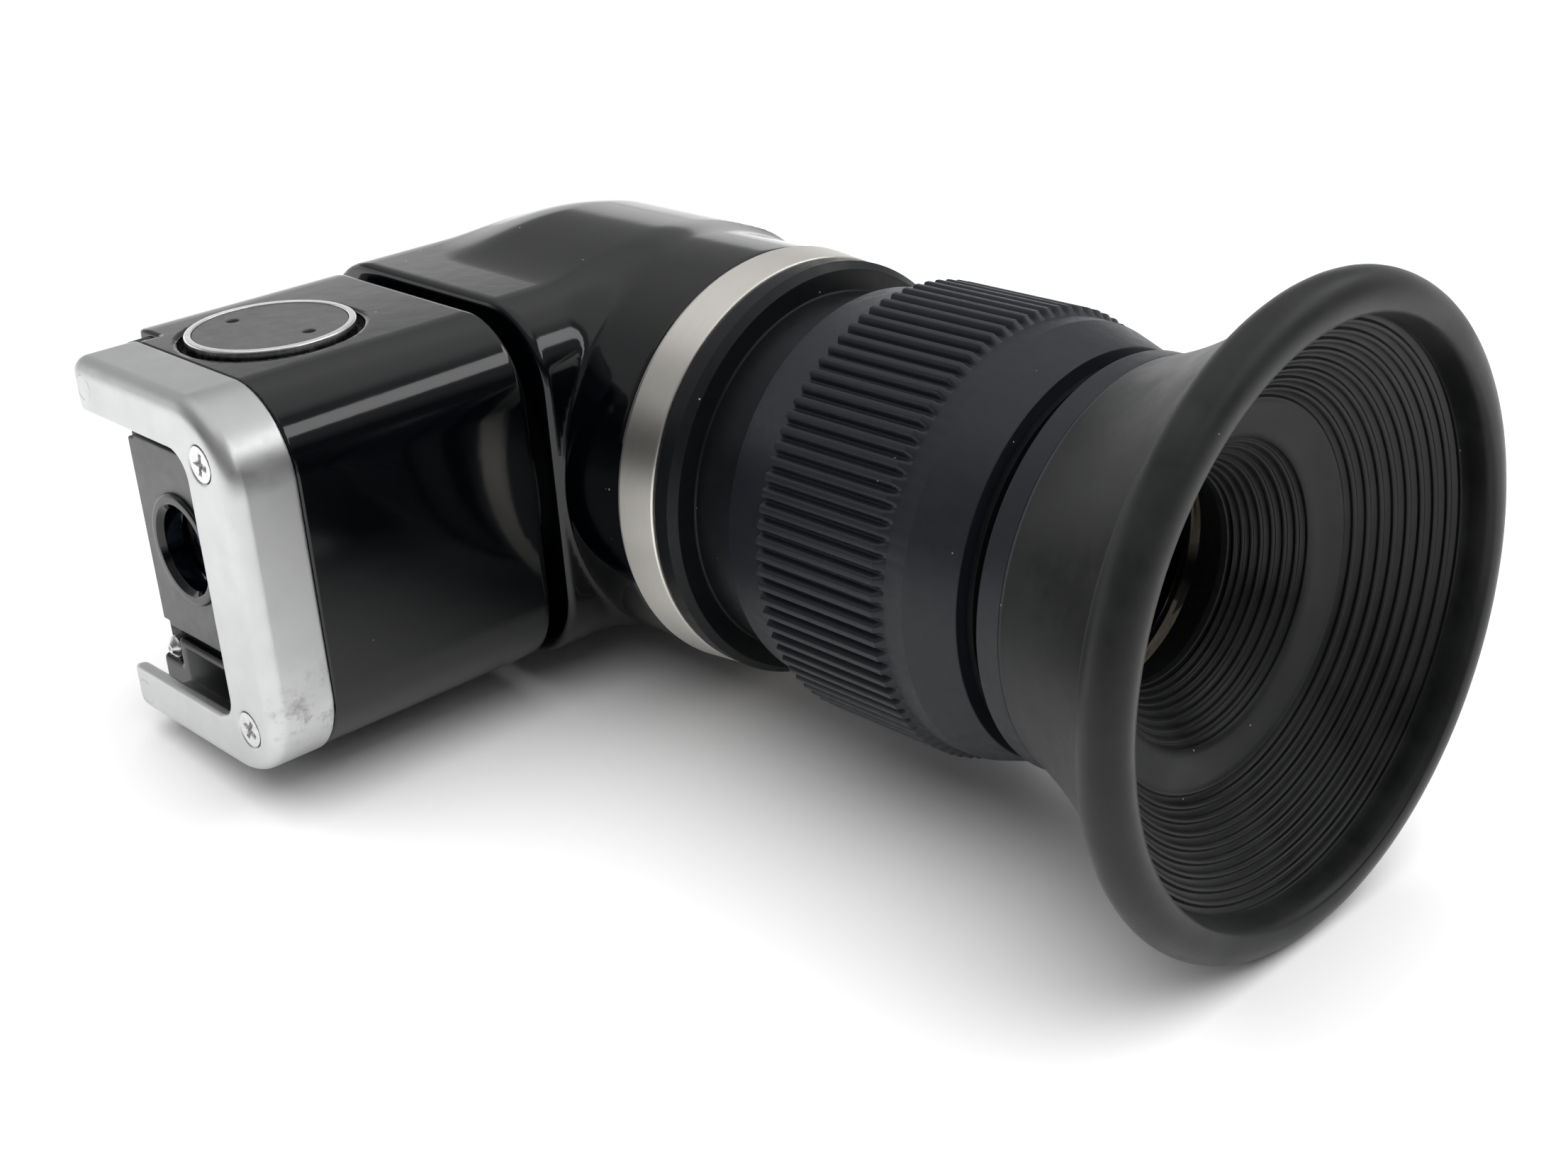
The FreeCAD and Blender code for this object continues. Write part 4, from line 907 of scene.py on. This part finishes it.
trim = turned(
    "mouth_ring",
    round_corners(
        [
            (14.28, 20.43, 0.05),
            (15.80, 20.43, 0.05),
            (16.10, 21.00, 0.10),
            (15.80, 24.20, 0.16),
            (14.28, 24.20, 0.05),
        ]
    ),
    on_eyepiece,
    320,
)
dress(trim, "trim_ring", "elbow")

flange = turned(
    "flange_and_neck",
    round_corners(
        [
            (12.0, 16.3, 0.1),
            (14.26, 16.3, 0.1),
            (14.26, 24.22, 0.03),
            (15.62, 24.22, 0.08),
            (15.75, 24.5, 0.1),
            (15.75, 25.8, 0.12),
            (15.2, 26.36, 0.12),
            (13.6, 26.36, 0.2),
            (13.6, 41.7, 0.1),
            (12.0, 41.7, 0.1),
        ]
    ),
    on_eyepiece,
    320,
)
dress(flange, "helicoid_tube", "elbow")

TEETH = 90
KNURL_START, KNURL_END = 35.15, 46.3
TOOTH_TIP, TOOTH_ROOT = 15.95, 15.38
TOOTH_LAND = 0.38


def knurl(r, reach, angle):
    """Cuts V grooves with rounded lands between the two ends of the toothed band."""
    phase = (angle * TEETH / (2 * np.pi)) % 1.0
    valley = 1.0 - np.abs(phase - 0.5) * 2.0
    depth = np.clip((valley - TOOTH_LAND) / (1.0 - TOOTH_LAND), 0.0, 1.0)
    on_band = (reach > KNURL_START - 0.02) & (reach < KNURL_END + 0.45)
    return np.where(on_band & (r > TOOTH_ROOT), r - (r - TOOTH_ROOT) * depth, r)


def band(first, last, count):
    (r0, a0), (r1, a1) = first, last
    return [(r0 + (r1 - r0) * i / count, a0 + (a1 - a0) * i / count) for i in range(1, count + 1)]


ring_outline = list(
    map(
        tuple,
        round_corners(
            [
                (13.65, 31.05, 0.08),
                (14.7, 31.05, 0.12),
                (15.36, KNURL_START - 0.06, 0.05),
                (TOOTH_TIP, KNURL_START, 0.10),
                (TOOTH_TIP, KNURL_END - 0.35, 0.05),
                (15.40, KNURL_END + 0.25, 0.04),
                (15.36, 48.1, 0.25),
                (14.24, 51.7, 0.12),
                (12.6, 51.7, 0.05),
                (12.6, 46.0, 0.05),
                (13.65, 46.0, 0.05),
            ]
        ),
    )
)
dense = []
for here, after in zip(ring_outline, ring_outline[1:] + ring_outline[:1]):
    dense.append(here)
    toothed = min(here[0], after[0]) > TOOTH_ROOT - 0.01
    if toothed and after[1] - here[1] > 0.2:
        dense.extend(band(here, after, 4)[:-1])
ring = turned("focusing_ring", dense, on_eyepiece, TEETH * 10, knurl)
dress(ring, "diopter_ring", "focus_ring")

barrel = turned(
    "eyepiece_tube",
    round_corners(
        [
            (9.55, 33.0, 0.1),
            (11.95, 33.0, 0.1),
            (11.95, 45.4, 0.05),
            (12.55, 45.4, 0.05),
            (12.55, 56.9, 0.1),
            (9.55, 56.9, 0.1),
        ]
    ),
    on_eyepiece,
    256,
)
dress(barrel, "eyepiece_barrel", "carrier")

collar = turned(
    "eyecup_band",
    round_corners(
        [
            (12.56, 53.45, 0.05),
            (14.4, 53.45, 0.16),
            (14.42, 55.3, 0.05),
            (12.56, 55.3, 0.05),
        ]
    ),
    on_eyepiece,
    256,
)
dress(collar, "eyecup_collar", "carrier")


def ribs(first, last, count, height):
    """Flat-topped concentric ribs between two points of an outline, standing out to its left."""
    first, last = np.array(first, float), np.array(last, float)
    along = last - first
    out = np.array([-along[1], along[0]]) / np.linalg.norm(along)
    profile = [(0.0, 0.0), (0.15, 0.0), (0.2, 0.3), (0.24, 0.85), (0.3, 1.0)]
    profile += [(0.5, 1.04), (0.7, 1.0), (0.76, 0.85), (0.8, 0.3), (0.85, 0.0)]
    made = []
    for rib in range(count):
        for share, swell in profile:
            made.append(tuple(first + along * (rib + share) / count + out * height * swell))
    made.append(tuple(last))
    return made


def arc(middle, radius, start, end, steps):
    """Points on an arc; angles in degrees from the radial direction towards greater reach."""
    made = []
    for i in range(steps + 1):
        angle = math.radians(start + (end - start) * i / steps)
        made.append((middle[0] + radius * math.cos(angle), middle[1] + radius * math.sin(angle)))
    return made


def cone(first, last, sag, steps):
    """A hollow-sided cone wall: straight, less a sag in the middle."""
    made = []
    for i in range(steps + 1):
        t = i / steps
        r = first[0] + (last[0] - first[0]) * t - sag * 4 * t * (1 - t)
        made.append((r, first[1] + (last[1] - first[1]) * t))
    return made


cup_outline = (
    cone((14.42, 55.34), (20.0, 65.9), 0.55, 26)
    + arc((20.18, 67.95), 1.72, -78, 118, 22)
    + [(19.22, 68.95), (19.12, 68.4), (19.07, 67.95)]
    + ribs((19.02, 67.4), (12.83, 62.0), 9, 0.27)
    + [(12.5, 61.86), (11.6, 61.62), (10.75, 61.4), (10.45, 61.22)]
    + ribs((10.3, 61.1), (8.4, 58.6), 4, 0.2)
    + ribs((8.4, 58.6), (7.45, 57.05), 3, 0.12)
    + [(7.5, 57.0), (12.57, 57.0), (12.57, 55.34)]
)
CUP_OVAL = 0.016


def oval(r, reach, angle):
    """The cup is a little taller than wide towards its rim."""
    share = CUP_OVAL * smoothstep(57.0, 68.0, reach)
    return r * (1.0 - share * np.cos(2.0 * angle))


cup = turned("rubber_eyecup", cup_outline, on_eyepiece, 288, oval)
dress(cup, "eyecup", "carrier")

retainer = turned(
    "lens_rim",
    round_corners(
        [
            (8.53, 53.6, 0.04),
            (9.53, 53.6, 0.04),
            (9.53, 56.75, 0.08),
            (7.3, 56.75, 0.10),
            (7.3, 56.2, 0.06),
        ]
    ),
    on_eyepiece,
    192,
)
dress(retainer, "lens_retainer", "carrier")


# ------------------------------------------------------------------ floor, light and camera

FLOOR_LEVEL = -16.13
FLOOR_SLOPE = 0.0905


def make_floor():
    """A wide pale disc under the part as it lies, a few degrees off the part's own frame."""
    turn = math.atan(FLOOR_SLOPE)
    rings = [0.0, 60, 120, 240, 480, 960, 1900]
    points, faces = [(0.0, 0.0, 0.0)], []
    sides = 96
    for radius in rings[1:]:
        for i in range(sides):
            angle = 2 * math.pi * i / sides
            points.append((radius * math.cos(angle), radius * math.sin(angle), 0.0))
    for i in range(sides):
        faces.append((0, 1 + i, 1 + (i + 1) % sides))
    for ring_index in range(len(rings) - 2):
        a = 1 + ring_index * sides
        b = a + sides
        for i in range(sides):
            j = (i + 1) % sides
            faces.append((a + i, b + i, b + j, a + j))
    made = make_mesh("studio_floor", points, faces)
    made.data.transform(
        Matrix.Translation(Vector((30, 0, FLOOR_LEVEL)) * MM) @ Matrix.Rotation(turn, 4, "X")
    )
    made.data.materials.append(floor_look())
    return made


make_floor()


def area_light(name, place, target, size, watts):
    data = bpy.data.lights.new(name, "AREA")
    data.shape = "RECTANGLE"
    data.size, data.size_y = size[0] * MM, size[1] * MM
    data.energy = watts
    made = bpy.data.objects.new(name, data)
    made.location = Vector(place) * MM
    away = made.location - Vector(target) * MM
    made.rotation_euler = away.to_track_quat("Z", "Y").to_euler()
    bpy.context.scene.collection.objects.link(made)
    return made


ceiling = area_light("ceiling", (30, 0, 900), target=(30, 0, 0), size=(1900, 1900), watts=19.0)
ceiling.visible_glossy = False
area_light("window", (265, -300, 332), target=(15, -12, 12), size=(620, 105), watts=0.62)


def sky_ramp(sky, value, stops):
    """A brightness that follows a list of (value, brightness) stops."""
    made = sky.nodes.new("ShaderNodeValToRGB")
    elements = made.color_ramp.elements
    for element, (where, level) in zip(elements, (stops[0], stops[-1])):
        element.position = where
        element.color = grey(level)
    for where, level in stops[1:-1]:
        elements.new(where).color = grey(level)
    sky.links.new(value, made.inputs[0])
    return made.outputs[0]


# The studio walls behind the part and behind the camera: stops of (height, brightness).
WALL_UP = (0.10, -0.12, 1.0)
TO_BACK = (0.67, 0.74, 0.0)
SKY_BACK = [
    (0.0, 1.05), (0.16, 1.1), (0.208, 1.0), (0.226, 0.68), (0.252, 0.42),
    (0.32, 0.38), (0.50, 0.42), (0.66, 0.62), (0.82, 0.9), (1.0, 0.9),
]
SKY_FRONT = [
    (0.0, 0.55), (0.06, 0.25), (0.14, 0.06), (0.32, 0.05),
    (0.45, 0.30), (0.80, 0.30), (0.86, 0.85), (1.0, 0.95),
]


def make_world():
    """Studio walls and ceiling: bright low down and behind the part, dim behind the camera."""
    world = bpy.data.worlds.new("studio")
    world.use_nodes = True
    bpy.context.scene.world = world
    sky = world.node_tree
    direction = sky.nodes.new("ShaderNodeTexCoord").outputs["Generated"]
    split = sky.nodes.new("ShaderNodeSeparateXYZ")
    sky.links.new(direction, split.inputs[0])
    height = sky.nodes.new("ShaderNodeVectorMath")
    height.operation = "DOT_PRODUCT"
    height.inputs[1].default_value = WALL_UP
    sky.links.new(direction, height.inputs[0])
    back = sky_ramp(sky, height.outputs["Value"], SKY_BACK)
    front = sky_ramp(sky, split.outputs["Z"], SKY_FRONT)
    facing = sky.nodes.new("ShaderNodeVectorMath")
    facing.operation = "DOT_PRODUCT"
    facing.inputs[1].default_value = TO_BACK
    sky.links.new(direction, facing.inputs[0])
    share = sky.nodes.new("ShaderNodeMapRange")
    share.interpolation_type = "SMOOTHSTEP"
    for socket, number in zip(share.inputs[1:5], (0.0, 0.28, 0.0, 1.0)):
        socket.default_value = number
    sky.links.new(facing.outputs["Value"], share.inputs[0])
    blend = sky.nodes.new("ShaderNodeMix")
    blend.data_type = "RGBA"
    sky.links.new(share.outputs[0], blend.inputs[0])
    sky.links.new(front, blend.inputs[6])
    sky.links.new(back, blend.inputs[7])
    sky.links.new(blend.outputs[2], sky.nodes["Background"].inputs["Color"])


make_world()

# The camera, worked out from the part's straight edges and circles.
CAMERA_PLACE = (-58.93, -132.43, 57.64)
CAMERA_FORWARD = (0.6086, 0.6761, -0.4153)
CAMERA_RIGHT = (0.72309, -0.68809, -0.06051)
SENSOR_WIDTH, FOCAL_LENGTH = 36.0, 48.268

camera_data = bpy.data.cameras.new("camera")
camera_data.sensor_width = SENSOR_WIDTH
camera_data.lens = FOCAL_LENGTH
camera_data.clip_start = 0.005
camera_data.clip_end = 20.0
camera = bpy.data.objects.new("camera", camera_data)
forward = Vector(CAMERA_FORWARD).normalized()
right = Vector(CAMERA_RIGHT).normalized()
turn = Matrix((right, right.cross(forward), -forward)).transposed().to_4x4()
camera.matrix_world = Matrix.Translation(Vector(CAMERA_PLACE) * MM) @ turn
bpy.context.scene.collection.objects.link(camera)
bpy.context.scene.camera = camera
bpy.context.scene.view_settings.view_transform = "Standard"
